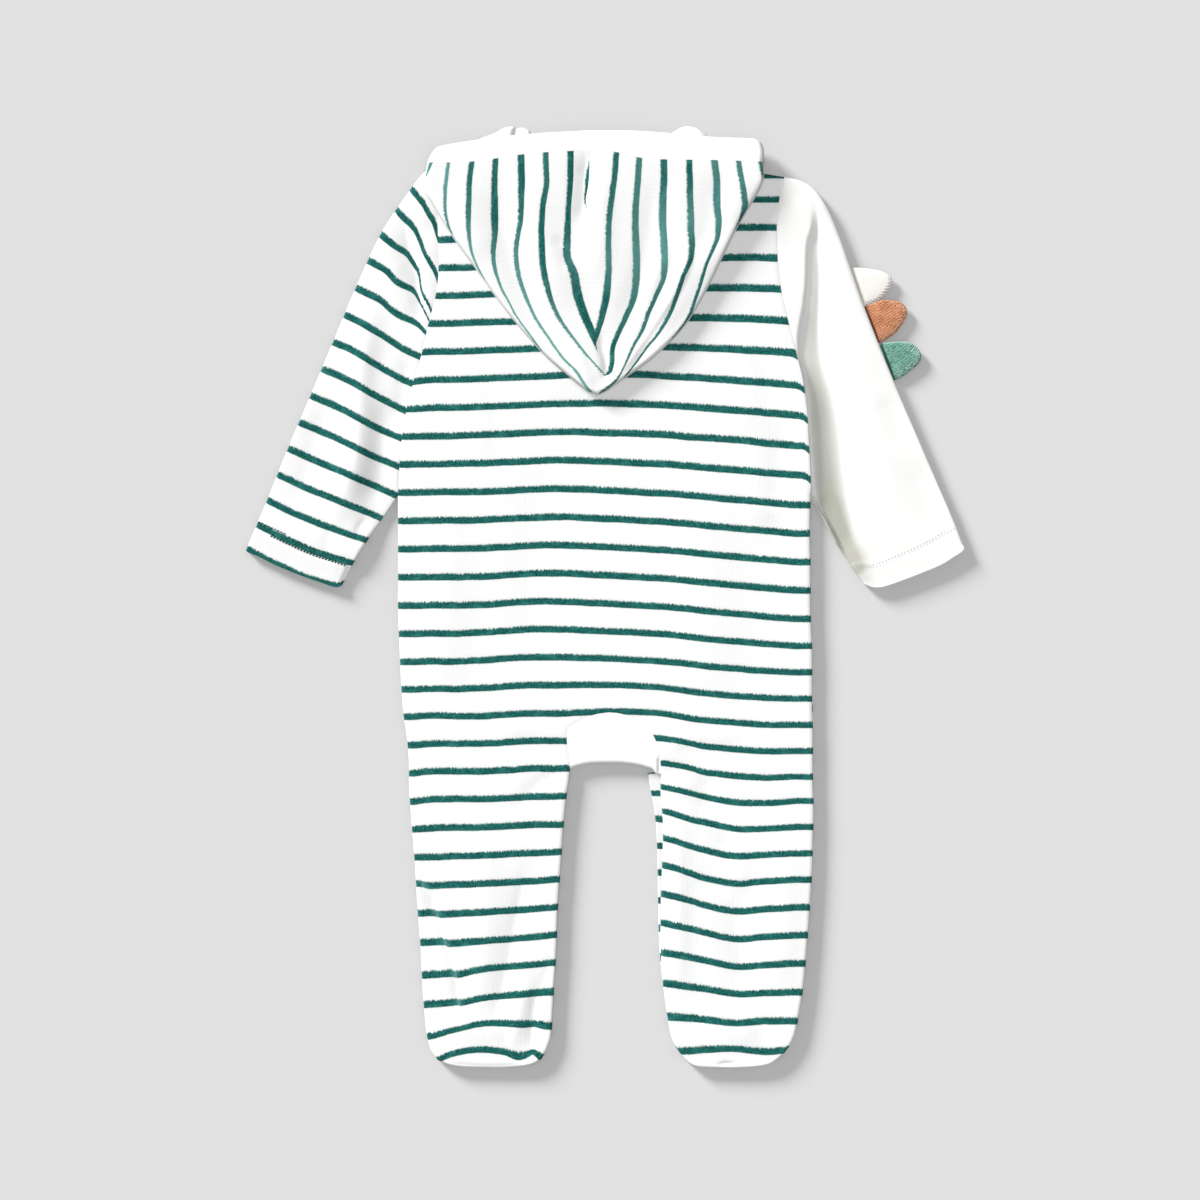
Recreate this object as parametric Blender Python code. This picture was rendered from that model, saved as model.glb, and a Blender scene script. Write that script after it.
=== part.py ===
# Hooded, footed baby sleepsuit, lying flat on its front.
# Its back and its folded-down hood face up; the hood end points to +Y.
# The origin is on the surface it lies on, under the middle of the garment.
# The tables are in millimetres; points go to metres as they reach a mesh.

import math
from collections import namedtuple
from itertools import product

import bmesh
import bpy
from mathutils import Vector

MM = 0.001

# Cloth
VELOUR = 1.8
JERSEY = 1.4
FELT = 3.0
SEAM_GAP = 0.3

# How the layers lie
AIR = 2.0
BODY_TOP = 2 * VELOUR + AIR
SIDE_ROLL = 4.0
SIDE_RIM = VELOUR + SEAM_GAP
SLEEVE_TOP = 5.4
SLEEVE_ROLL = 3.0
SLEEVE_MIDDLE = 2.7
HOOD_RIM = BODY_TOP + SEAM_GAP
HOOD_TOP = 14.0
HOOD_TIP_DROP = 3.0
HOOD_ROLL = 7.0
LINING_ROLL = 3.0
NECK_GAP = 1.0
CORE_GAP = 0.8
DEEPEST_FOLD = -1.3
HOOD_DEEPEST = -2.5
SPIKE_LIFT = 1.2
CORNER_REACH = 2.5

# Points nearer to each other than this are one point
TOUCH = 0.02

# Centre line of the back, and the strip that closes the front
CENTRE_X = 1.5
PLACKET_LEFT = -7.5
PLACKET_RIGHT = 10.0
FRONT_NECK_Y = 234.0
CROTCH_Y = -73.5

# Steps round a folded edge, and columns over the flat cloth between two edges
ROLL_ANGLES = [math.radians(angle) for angle in (0, 30, 60, 90)]
BODY_COLUMNS = 8
FRONT_COLUMNS = 6
SLEEVE_ROWS = 12
HOOD_COLUMNS = 4
HOOD_ROWS = 12
LINING_COLUMNS = 23

# Rows of the back from shoulder to foot: a point of the side edge, and the
# point across from it on the centre line, the crotch notch or the inner leg.
Row = namedtuple("Row", "side_x side_y inner_x inner_y")

BACK_LEFT = [
    Row(-108.0, 272.5, 1.5, 266.5),
    Row(-107.5, 254.5, 1.5, 250.0),
    Row(-107.5, 234.0, 1.5, 231.0),
    Row(-107.0, 210.0, 1.5, 208.0),
    Row(-109.0, 192.5, 1.5, 191.0),
    Row(-113.5, 175.0, 1.5, 174.0),
    Row(-117.5, 157.0, 1.5, 156.0),
    Row(-123.0, 138.5, 1.5, 138.0),
    Row(-127.5, 120.0, 1.5, 120.0),
    Row(-130.5, 102.0, 1.5, 102.0),
    Row(-132.0, 84.0, 1.5, 84.0),
    Row(-133.0, 65.5, 1.5, 65.5),
    Row(-133.0, 43.0, 1.5, 43.0),
    Row(-133.0, 17.5, 1.5, 17.5),
    Row(-133.0, -8.0, 1.5, -8.0),
    Row(-132.0, -33.5, 1.5, -32.0),
    Row(-131.0, -56.0, 1.5, -54.0),
    Row(-129.5, -75.0, 1.5, -73.5),
    Row(-128.0, -85.0, -7.5, -75.0),
    Row(-127.0, -93.0, -16.5, -78.5),
    Row(-126.5, -99.0, -23.5, -83.0),
    Row(-126.0, -107.0, -25.0, -91.0),
    Row(-126.0, -120.0, -23.0, -110.0),
    Row(-125.0, -136.0, -25.0, -126.5),
    Row(-123.5, -155.0, -27.0, -146.0),
    Row(-122.0, -174.5, -28.5, -168.0),
    Row(-120.5, -200.0, -30.5, -196.0),
    Row(-118.5, -225.5, -31.5, -224.0),
    Row(-117.5, -248.0, -33.0, -248.0),
    Row(-116.0, -267.0, -34.0, -267.0),
    Row(-114.5, -280.5, -35.0, -280.5),
    Row(-112.0, -289.5, -38.0, -289.5),
    Row(-107.5, -296.0, -41.5, -295.5),
]

BACK_RIGHT = [
    Row(114.0, 269.0, 1.5, 266.5),
    Row(110.5, 253.0, 1.5, 250.0),
    Row(109.0, 234.0, 1.5, 231.0),
    Row(110.0, 211.5, 1.5, 208.0),
    Row(112.5, 193.5, 1.5, 191.0),
    Row(117.0, 174.5, 1.5, 174.0),
    Row(121.5, 156.5, 1.5, 156.0),
    Row(126.0, 138.0, 1.5, 138.0),
    Row(128.5, 119.0, 1.5, 120.0),
    Row(129.5, 101.0, 1.5, 102.0),
    Row(130.5, 83.0, 1.5, 84.0),
    Row(131.0, 65.5, 1.5, 65.5),
    Row(130.5, 43.0, 1.5, 43.0),
    Row(131.0, 17.5, 1.5, 17.5),
    Row(131.0, -8.0, 1.5, -8.0),
    Row(132.0, -33.5, 1.5, -32.0),
    Row(132.0, -56.0, 1.5, -54.0),
    Row(132.0, -75.0, 1.5, -73.5),
    Row(132.5, -84.0, 10.0, -74.5),
    Row(132.5, -91.0, 21.0, -79.0),
    Row(132.5, -97.0, 28.0, -85.5),
    Row(132.5, -103.0, 31.5, -91.0),
    Row(132.5, -111.0, 34.5, -101.5),
    Row(132.5, -120.0, 35.0, -112.5),
    Row(133.0, -136.0, 35.0, -126.5),
    Row(132.5, -155.0, 36.5, -146.0),
    Row(132.0, -174.5, 36.0, -168.0),
    Row(130.5, -200.0, 35.0, -196.0),
    Row(128.5, -225.5, 35.0, -224.0),
    Row(126.5, -248.0, 36.5, -248.0),
    Row(123.5, -267.0, 39.0, -266.0),
    Row(120.5, -280.5, 41.5, -280.5),
    Row(115.5, -289.5, 46.0, -289.5),
    Row(110.0, -295.0, 51.0, -296.0),
]

# Where the rows change: the last armhole row, the row at the middle of the
# crotch notch, and the row at the notch's lower corner.
UNDERARM_ROW = 11
NOTCH_ROW = 17
CORNER_ROW_LEFT = 22
CORNER_ROW_RIGHT = 23

# Shoulder and neck edges from armhole to centre, and foot edges from the side in
BACK_NECK_LEFT = [(-108.0, 272.5), (-80.5, 275.0), (-48.5, 277.0), (-32.5, 271.5), (1.5, 266.5)]
BACK_NECK_RIGHT = [(114.0, 269.0), (86.0, 273.5), (54.0, 276.0), (34.5, 271.0), (1.5, 266.5)]
FRONT_NECK_LEFT = [(-108.0, 272.5), (-48.5, 277.0), (-41.0, 256.0), (-27.0, 241.0), (-7.5, 234.0)]
FRONT_NECK_RIGHT = [(114.0, 269.0), (54.0, 276.0), (44.0, 256.0), (29.0, 241.0), (10.0, 234.0)]
FOOT_LEFT = [(-107.5, -296.0), (-96.0, -300.0), (-74.0, -301.0), (-58.0, -300.5), (-48.5, -299.0),
             (-41.5, -295.5)]
FOOT_RIGHT = [(110.0, -295.0), (103.5, -299.0), (89.0, -301.0), (68.0, -301.0), (57.0, -300.0),
              (51.0, -296.0)]

# The front's inner seam of the right leg sticks out past the back's
Inseam = namedtuple("Inseam", "y shown")

INSEAM_SHOWN = [
    Inseam(-112.5, 0.0),
    Inseam(-117.0, 7.0),
    Inseam(-126.5, 5.0),
    Inseam(-146.0, 4.5),
    Inseam(-168.0, 3.0),
    Inseam(-196.0, 1.6),
    Inseam(-224.0, 0.8),
    Inseam(-248.0, 0.0),
]
INSEAM_TOP_ROW = Row(132.5, -127.0, 35.0, -117.0)

# Crotch gusset: its seam to front and back, and the folded edge it hangs from
Gusset = namedtuple("Gusset", "seam_x seam_y fold_x fold_y")

GUSSET = [
    Gusset(-25.0, -91.0, -23.0, -110.0),
    Gusset(-23.5, -83.0, -20.0, -108.0),
    Gusset(-16.5, -78.5, -15.0, -106.8),
    Gusset(-7.5, -75.0, -7.5, -106.0),
    Gusset(1.5, -73.5, 1.5, -105.7),
    Gusset(10.0, -74.5, 10.0, -106.0),
    Gusset(21.0, -79.0, 19.0, -107.3),
    Gusset(28.0, -85.5, 25.5, -109.0),
    Gusset(31.5, -91.0, 30.5, -110.5),
    Gusset(34.5, -101.5, 35.0, -112.5),
]

# Sleeves: folded outer edge from shoulder to cuff, folded inner edge from
# underarm to cuff, and the cuff from outer to inner edge.
SLEEVE_LEFT_OUTER = [(-108.0, 272.5), (-116.0, 272.0), (-127.5, 257.5), (-144.0, 232.5),
                     (-160.0, 198.0), (-174.5, 163.5), (-189.0, 129.0), (-203.5, 95.0),
                     (-217.0, 61.5), (-229.8, 30.5)]
SLEEVE_LEFT_INNER = [(-133.0, 65.5), (-143.5, 50.0), (-152.5, 36.5), (-162.0, 21.0), (-168.5, 8.0)]
SLEEVE_LEFT_CUFF = [(-229.8, 30.5), (-199.0, 19.5), (-168.5, 8.0)]
SLEEVE_RIGHT_OUTER = [(114.0, 269.0), (127.0, 265.5), (137.5, 256.0), (148.5, 233.5),
                      (165.0, 186.5), (183.5, 140.0), (197.0, 108.5), (211.0, 76.0),
                      (221.0, 53.0), (229.8, 30.5)]
SLEEVE_RIGHT_INNER = [(131.0, 65.5), (136.5, 57.0), (148.5, 34.5), (157.5, 19.0), (164.5, 9.0)]
SLEEVE_RIGHT_CUFF = [(229.8, 30.5), (211.0, 19.5), (182.5, 8.5), (172.0, 6.5), (164.5, 9.0)]

# Folded-down hood: outline of each half from the band to the tip, the seam
# over its middle, and both edges of the band that binds its opening.
HOOD_LEFT = [(-114.0, 277.5), (-116.0, 262.0), (-109.5, 248.5), (-96.5, 228.0), (-80.5, 206.0),
             (-63.5, 182.5), (-43.0, 158.5), (-29.0, 145.5), (-12.0, 131.5)]
HOOD_RIGHT = [(100.5, 278.0), (101.0, 271.0), (98.5, 261.0), (82.5, 233.5), (65.5, 198.5),
              (50.0, 173.0), (29.5, 152.5), (12.0, 140.0), (1.0, 132.0)]
HOOD_TIP = (-5.5, 129.0)
HOOD_MIDDLE = [(-6.0, 285.0), (-10.5, 270.0), (-12.0, 248.0), (-10.0, 216.0), (-6.5, 164.0),
               (-5.5, 129.0)]
BAND_LOW_LEFT = [(-114.0, 277.5), (-86.0, 278.0), (-54.5, 282.5), (-38.5, 284.0), (-6.0, 285.0)]
BAND_LOW_RIGHT = [(100.5, 278.0), (70.0, 279.0), (37.0, 279.5), (22.0, 280.5), (7.0, 284.0),
                  (-6.0, 285.0)]
BAND_TOP_LEFT = [(-109.0, 286.5), (-101.0, 289.5), (-87.0, 291.0), (-45.5, 296.5), (-6.0, 298.5)]
BAND_TOP_RIGHT = [(98.0, 291.5), (94.0, 293.5), (66.5, 294.0), (38.0, 297.0), (16.0, 298.3),
                  (-6.0, 298.5)]

# White lining under the band, whose two folds stand out past its edge
LINING_LEFT_X = -106.0
LINING_RIGHT_X = 94.0
LINING_INSET = 2.0
Bump = namedtuple("Bump", "x half_width out")

BUMPS = [
    Bump(-64.0, 24.0, 8.0),
    Bump(53.5, 17.0, 6.9),
]

# Padded spikes of the right sleeve: a rounded tooth from its foot on the
# sleeve's edge, over its point, and back to its other foot.
SPIKE_CREAM = [(158.1, 210.8), (169.0, 210.7), (178.5, 209.2), (182.6, 203.5), (181.5, 196.5),
               (174.0, 189.7), (166.0, 186.8)]
SPIKE_RUST = [(166.4, 186.2), (174.0, 189.0), (184.5, 189.2), (191.0, 186.0), (192.4, 179.5),
              (188.0, 171.0), (181.0, 165.5), (175.4, 163.1)]
SPIKE_GREEN = [(175.8, 162.5), (184.0, 163.4), (195.0, 161.7), (201.0, 157.5), (201.6, 151.0),
               (196.0, 144.7), (190.0, 141.0), (184.8, 139.6)]
SPIKE_EDGE = 1.1
SPIKE_SMOOTHING = 3

# Largest folds: soft ridges (height above 0) and troughs (below 0)
Fold = namedtuple("Fold", "x0 y0 x1 y1 width height")

BACK_FOLDS = [
    Fold(-39.0, -152.0, -62.0, -238.0, 9.0, -0.9),
    Fold(-39.0, -232.0, -49.0, -300.0, 5.5, -1.3),
    Fold(-116.0, -185.0, -94.0, -262.0, 6.0, 0.9),
    Fold(-80.0, -140.0, -76.0, -270.0, 12.0, 0.7),
    Fold(57.0, -113.0, 80.0, -174.0, 9.0, -1.1),
    Fold(80.0, -174.0, 89.0, -262.0, 11.0, -0.8),
    Fold(46.0, -128.0, 46.0, -262.0, 7.0, 0.8),
    Fold(116.0, -150.0, 110.0, -262.0, 10.0, 0.6),
    Fold(-100.0, 60.0, -104.0, -70.0, 14.0, 0.7),
    Fold(-38.0, 96.0, -44.0, -60.0, 18.0, -0.6),
    Fold(58.0, 96.0, 66.0, -80.0, 20.0, 0.8),
    Fold(112.0, 120.0, 108.0, 20.0, 9.0, -0.7),
    Fold(118.0, 170.0, 122.0, 96.0, 6.0, 0.7),
]
SLEEVE_LEFT_FOLDS = [
    Fold(-125.0, 236.0, -119.0, 182.0, 5.0, -1.2),
    Fold(-119.0, 236.0, -112.5, 184.0, 4.5, 1.4),
    Fold(-176.0, 128.0, -196.0, 52.0, 10.0, -0.6),
    Fold(-148.0, 120.0, -168.0, 40.0, 10.0, 0.7),
]
SLEEVE_RIGHT_FOLDS = [
    Fold(131.0, 254.0, 137.0, 196.0, 6.0, -1.2),
    Fold(137.0, 196.0, 138.0, 160.0, 6.0, -1.4),
    Fold(138.0, 160.0, 153.0, 55.0, 6.0, -1.4),
    Fold(153.0, 55.0, 161.0, 26.0, 5.0, -0.9),
    Fold(150.0, 200.0, 178.0, 70.0, 12.0, 0.9),
]
HOOD_FOLDS = [
    Fold(-16.0, 280.0, -17.0, 246.0, 4.5, -2.2),
    Fold(-4.0, 274.0, -4.0, 200.0, 8.0, 1.0),
    Fold(-52.0, 276.0, -22.0, 180.0, 10.0, 1.2),
    Fold(-72.0, 272.0, -36.0, 160.0, 8.0, -1.0),
    Fold(32.0, 276.0, 6.0, 156.0, 8.0, -1.1),
    Fold(54.0, 270.0, 24.0, 172.0, 10.0, 1.1),
    Fold(-6.5, 166.0, -6.0, 134.0, 4.5, -1.0),
]

MATERIALS = {
    "velour": ((0.86, 0.88, 0.86), 0.9),
    "velour_green": ((0.02, 0.16, 0.12), 0.9),
    "jersey": ((0.90, 0.90, 0.88), 0.85),
    "felt_cream": ((0.84, 0.82, 0.76), 0.95),
    "felt_rust": ((0.66, 0.29, 0.16), 0.95),
    "felt_green": ((0.17, 0.34, 0.27), 0.95),
}


class Curve:
    # A line through its points, read by the share of its length from the start

    def __init__(self, points, smooth=True):
        line = [Vector(point) for point in points]
        self.points = smooth_line(line) if smooth else line
        self.reach = [0.0]
        for start, end in zip(self.points, self.points[1:]):
            self.reach.append(self.reach[-1] + (end - start).length)

    def at(self, share):
        wanted = min(max(share, 0.0), 1.0) * self.reach[-1]
        step = 0
        while step < len(self.reach) - 2 and self.reach[step + 1] < wanted:
            step += 1
        length = self.reach[step + 1] - self.reach[step]
        part = (wanted - self.reach[step]) / length
        return self.points[step].lerp(self.points[step + 1], part)


class FoldLine:
    # A folded edge, walked with the cloth on its left

    def __init__(self, points):
        self.curve = Curve(points, smooth=False)
        whole = self.curve.reach[-1]
        self.outward = []
        for place in self.curve.reach:
            ahead = (self.curve.at((place + CORNER_REACH) / whole)
                     - self.curve.at((place - CORNER_REACH) / whole))
            self.outward.append(Vector((ahead.y, -ahead.x)).normalized())

    def read(self, point):
        # The nearest distance to the line, and the way out of the cloth there
        nearest = None
        points = self.curve.points
        for place in range(len(points) - 1):
            start, end = points[place], points[place + 1]
            run = end - start
            part = min(max((point - start).dot(run) / run.length_squared, 0.0), 1.0)
            distance = (start + run * part - point).length
            if nearest is None or distance < nearest[0]:
                out = self.outward[place].lerp(self.outward[place + 1], part).normalized()
                nearest = (distance, out)
        distance, out = nearest
        return (0.0 if distance < TOUCH else distance), out


def smooth_line(line, steps=6):
    # A smooth curve through the points, with some steps between each pair
    ends = [2 * line[0] - line[1]] + line + [2 * line[-1] - line[-2]]
    smooth = [line[0]]
    for before, start, end, after in zip(ends, ends[1:], ends[2:], ends[3:]):
        for step in range(1, steps + 1):
            share = step / steps
            bend = (2 * start + (end - before) * share
                    + (2 * before - 5 * start + 4 * end - after) * share ** 2
                    + (3 * start - before - 3 * end + after) * share ** 3)
            smooth.append(bend * 0.5)
    return smooth


def table_value(table, at, key, value):
    # Straight-line reading of a table whose key falls from row to row
    if at >= getattr(table[0], key):
        return getattr(table[0], value)
    for upper, lower in zip(table, table[1:]):
        high, low = getattr(upper, key), getattr(lower, key)
        if high >= at >= low:
            share = (high - at) / (high - low)
            return getattr(upper, value) * (1 - share) + getattr(lower, value) * share
    return getattr(table[-1], value)


def fold_height(folds, point):
    # Sum of the soft ridges and troughs at a point
    height = 0.0
    for fold in folds:
        start, end = Vector((fold.x0, fold.y0)), Vector((fold.x1, fold.y1))
        run = end - start
        part = min(max((point - start).dot(run) / run.length_squared, 0.0), 1.0)
        distance = (start + run * part - point).length
        height += fold.height * math.exp(-(distance / fold.width) ** 2)
    return height


def column_shares(width, roll, flat_columns, rolled_inner):
    # Shares across a row: close together round a folded edge, even elsewhere
    roll = min(roll, 0.4 * width)
    steps = [roll * (1 - math.cos(angle)) / width for angle in ROLL_ANGLES]
    if rolled_inner:
        far = [1 - step for step in reversed(steps)]
        even = flat_columns + 1
    else:
        far = [1.0]
        even = flat_columns + len(steps)
    middle = [steps[-1] + (far[0] - steps[-1]) * step / even for step in range(1, even)]
    return steps + middle + far


def patch(side, inner, start, end, shares):
    # Points of a four-sided piece. side and inner hold the ends of each row,
    # start and end are the curves of the first and last rows, and shares says
    # where the columns cross each row.
    reach = [0.0]
    for before, after in zip(zip(side, inner), zip(side[1:], inner[1:])):
        step = (after[0] - before[0]).length + (after[1] - before[1]).length
        reach.append(reach[-1] + step)
    grid = []
    for row, (outer_end, inner_end) in enumerate(zip(side, inner)):
        down = reach[row] / reach[-1]
        line = []
        for across in shares[row]:
            straight = outer_end.lerp(inner_end, across)
            bow_start = start.at(across) - side[0].lerp(inner[0], across)
            bow_end = end.at(across) - side[-1].lerp(inner[-1], across)
            line.append(straight + bow_start * (1 - down) + bow_end * down)
        grid.append(line)
    return grid


def top_wall(point, lines, lie):
    # Outer and inner point of a wall that lies on top and rolls down at its
    # folded edges. lie gives its heights, roll, wall and folds.
    distance, out = min((line.read(point) for line in lines), key=lambda found: found[0])
    top = lie["top"](point) + max(fold_height(lie["folds"], point), lie["deepest"])
    lean = math.acos(max(0.0, 1 - distance / lie["roll"]))
    height = lie["rim"] + (top - lie["rim"]) * math.sin(lean)
    normal = Vector((out.x * math.cos(lean), out.y * math.cos(lean), math.sin(lean)))
    outer = Vector((point.x, point.y, height))
    return outer, outer - normal * lie["wall"]


def under_wall(point, lines, lie):
    # The same for the lower half of a tube, which lies flat on the surface
    distance, out = min((line.read(point) for line in lines), key=lambda found: found[0])
    lean = math.acos(max(0.0, 1 - distance / lie["roll"]))
    height = lie["rim"] * (1 - math.sin(lean))
    normal = Vector((out.x * math.cos(lean), out.y * math.cos(lean), -math.sin(lean)))
    outer = Vector((point.x, point.y, height))
    return outer, outer - normal * lie["wall"]


def hold_in_seam(pairs, seam):
    # Where a seam runs into a folded edge, the wall's inside stays in the seam
    held = []
    for place, (outer, inner) in enumerate(pairs):
        ahead = seam[min(place + 1, len(seam) - 1)] - seam[max(place - 1, 0)]
        ahead = ahead.normalized()
        shift = (inner - outer).xy
        along = shift.dot(ahead)
        if shift.length > 0 and abs(along) > 0.5 * shift.length:
            kept = ahead * math.copysign(shift.length, along)
            inner = Vector((outer.x + kept.x, outer.y + kept.y, inner.z))
        elif shift.length > 0 and inner.z < outer.z - 0.5 * abs(along):
            inner = Vector((outer.x, outer.y, outer.z - (inner - outer).length))
        held.append((outer, inner))
    return held


def make_material(name):
    colour, roughness = MATERIALS[name]
    material = bpy.data.materials.get(name) or bpy.data.materials.new(name)
    material.use_nodes = True
    shader = material.node_tree.nodes["Principled BSDF"]
    shader.inputs["Base Color"].default_value = (*colour, 1.0)
    shader.inputs["Roughness"].default_value = roughness
    shader.inputs["Metallic"].default_value = 0.0
    material.diffuse_color = (*colour, 1.0)
    return material


def finish_object(name, form, material):
    # Close the form, turn its faces out and link it as a named object
    bmesh.ops.remove_doubles(form, verts=form.verts, dist=0.00001)
    bmesh.ops.dissolve_degenerate(form, edges=form.edges, dist=0.000001)
    bmesh.ops.recalc_face_normals(form, faces=form.faces)
    if form.calc_volume(signed=True) < 0:
        bmesh.ops.reverse_faces(form, faces=form.faces)
    mesh = bpy.data.meshes.new(name)
    form.to_mesh(mesh)
    form.free()
    mesh.shade_smooth()
    mesh.set_sharp_from_angle(angle=math.radians(50))
    mesh.materials.append(make_material(material))
    piece = bpy.data.objects.new(name, mesh)
    bpy.context.scene.collection.objects.link(piece)
    return piece


def make_wall(name, grids, material):
    # A closed wall from grids of (outer, inner) points. Grids that share outer
    # points are joined there, and every free edge gets a rim.
    form = bmesh.new()
    made = {}

    def vertices(pair):
        outer, inner = pair
        cell = [round(value / TOUCH) for value in outer]
        for step in product((0, -1, 1), repeat=3):
            near = tuple(value + shift for value, shift in zip(cell, step))
            if near in made and (made[near][2] - outer).length < TOUCH:
                return made[near][:2]
        made[tuple(cell)] = (form.verts.new(outer * MM), form.verts.new(inner * MM), outer)
        return made[tuple(cell)][:2]

    uses = {}
    for grid in grids:
        for upper, lower in zip(grid, grid[1:]):
            for column in range(len(upper) - 1):
                corners = [upper[column], upper[column + 1], lower[column + 1], lower[column]]
                found = []
                for corner in corners:
                    pair = vertices(corner)
                    if pair not in found:
                        found.append(pair)
                if len(found) < 3:
                    continue
                form.faces.new([pair[0] for pair in found])
                form.faces.new([pair[1] for pair in reversed(found)])
                for first, second in zip(found, found[1:] + found[:1]):
                    edge = frozenset((first, second))
                    uses.setdefault(edge, []).append((first, second))
    for ends in uses.values():
        if len(ends) == 1:
            first, second = ends[0]
            form.faces.new((second[0], first[0], first[1], second[1]))
    return finish_object(name, form, material)


def row_points(rows):
    side = [Vector((row.side_x, row.side_y)) for row in rows]
    inner = [Vector((row.inner_x, row.inner_y)) for row in rows]
    return side, inner


def body_patch(rows, neck, foot, row_shares):
    side, inner = row_points(rows)
    shares = []
    for number, (start, end) in enumerate(zip(side, inner)):
        shares.append(row_shares(number, (end - start).length))
    return patch(side, inner, Curve(neck, smooth=False), Curve(foot), shares)


def body_folds(rows, grid, shoulder, corner_row, left):
    # Folded edges of one half: shoulder, then side, foot and inner leg in one
    side = [Vector((row.side_x, row.side_y)) for row in rows[UNDERARM_ROW:]]
    inner = [Vector((row.inner_x, row.inner_y)) for row in rows[corner_row:]]
    round_foot = side + grid[-1][1:-1] + list(reversed(inner))
    if left:
        return [FoldLine(reversed(shoulder)), FoldLine(round_foot)]
    return [FoldLine(shoulder), FoldLine(reversed(round_foot))]


def back_lie(folds):
    return {"top": lambda point: BODY_TOP, "rim": SIDE_RIM, "roll": SIDE_ROLL,
            "wall": VELOUR, "folds": folds, "deepest": DEEPEST_FOLD}


def make_back():
    halves = []
    plan = ((BACK_LEFT, BACK_NECK_LEFT, FOOT_LEFT, CORNER_ROW_LEFT, True),
            (BACK_RIGHT, BACK_NECK_RIGHT, FOOT_RIGHT, CORNER_ROW_RIGHT, False))
    for rows, neck, foot, corner_row, left in plan:
        grid = body_patch(rows, neck, foot, lambda number, width: column_shares(
            width, SIDE_ROLL, BODY_COLUMNS, number >= corner_row))
        lines = body_folds(rows, grid, neck[:3], corner_row, left)
        wall = [[top_wall(point, lines, back_lie(BACK_FOLDS)) for point in row] for row in grid]
        halves.append(wall)
    return make_wall("back", halves, "velour")


def front_rows(rows, centre_x, corner_row, right):
    # The front's rows follow the back's, but its middle edge is out beside the
    # placket and its neck is lower
    share = (FRONT_NECK_Y - CROTCH_Y) / (rows[0].inner_y - CROTCH_Y)
    found = []
    for number, row in enumerate(rows):
        if number == NOTCH_ROW:
            continue
        if number < NOTCH_ROW:
            lower = CROTCH_Y + (row.inner_y - CROTCH_Y) * share
            row = row._replace(inner_x=centre_x, inner_y=lower)
        elif right and number >= corner_row:
            shown = table_value(INSEAM_SHOWN, row.inner_y, "y", "shown")
            row = row._replace(inner_x=row.inner_x - shown)
        found.append(row)
        if right and number == corner_row:
            shown = table_value(INSEAM_SHOWN, INSEAM_TOP_ROW.inner_y, "y", "shown")
            found.append(INSEAM_TOP_ROW._replace(inner_x=INSEAM_TOP_ROW.inner_x - shown))
    return found


def make_front(name, rows, neck, foot, corner_row, centre_x, right):
    # Flat where it rests: its outer face is down
    moved = front_rows(rows, centre_x, corner_row, right)
    even = [column / FRONT_COLUMNS for column in range(FRONT_COLUMNS + 1)]
    grid = body_patch(moved, neck, foot, lambda number, width: even)
    wall = [[(Vector((point.x, point.y, 0.0)), Vector((point.x, point.y, VELOUR)))
             for point in row] for row in grid]
    return make_wall(name, [wall], "velour")


def make_placket():
    # Plain strip between the two fronts, level with them
    form = bmesh.new()
    bmesh.ops.create_cube(form, size=1.0)
    left, right = PLACKET_LEFT + SEAM_GAP, PLACKET_RIGHT - SEAM_GAP
    low, high = CROTCH_Y + SEAM_GAP, FRONT_NECK_Y
    bmesh.ops.scale(form, vec=((right - left) * MM, (high - low) * MM, VELOUR * MM),
                    verts=form.verts)
    middle = Vector(((left + right) / 2, (low + high) / 2, VELOUR / 2))
    bmesh.ops.translate(form, vec=middle * MM, verts=form.verts)
    return finish_object("front_placket", form, "jersey")


def make_gusset():
    # Folded over the crotch: one half on the back, the other under the front
    seam = [Vector((row.seam_x, row.seam_y)) for row in GUSSET]
    fold = [Vector((row.fold_x, row.fold_y)) for row in GUSSET]
    centre = Vector((CENTRE_X, (GUSSET[0].fold_y + CROTCH_Y) / 2))
    for number, point in enumerate(seam):
        ahead = seam[min(number + 1, len(seam) - 1)] - seam[max(number - 1, 0)]
        away = Vector((ahead.y, -ahead.x)).normalized()
        if away.dot(centre - point) < 0:
            away = -away
        seam[number] = point + away * SEAM_GAP
    fold[0].x += SEAM_GAP
    fold[-1].x -= SEAM_GAP
    steps = [SLEEVE_ROLL * (1 - math.cos(angle)) for angle in ROLL_ANGLES]
    lines = [FoldLine(fold)]
    lie = {"top": lambda point: BODY_TOP, "rim": SLEEVE_MIDDLE, "roll": SLEEVE_ROLL,
           "wall": JERSEY, "folds": [], "deepest": 0.0}
    over, under = [], []
    for start, end in zip(seam, fold):
        length = (end - start).length
        shares = [0.0, 0.35, 0.65] + [1 - step / length for step in reversed(steps)]
        line = [start.lerp(end, share) for share in shares]
        over.append([top_wall(point, lines, lie) for point in line])
        under.append([under_wall(point, lines, lie) for point in line])
    for wall in (over, under):
        for row in (0, -1):
            wall[row] = hold_in_seam(wall[row], [pair[0].xy for pair in wall[row]])
    return make_wall("crotch_gusset", [over, under], "jersey")


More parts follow.
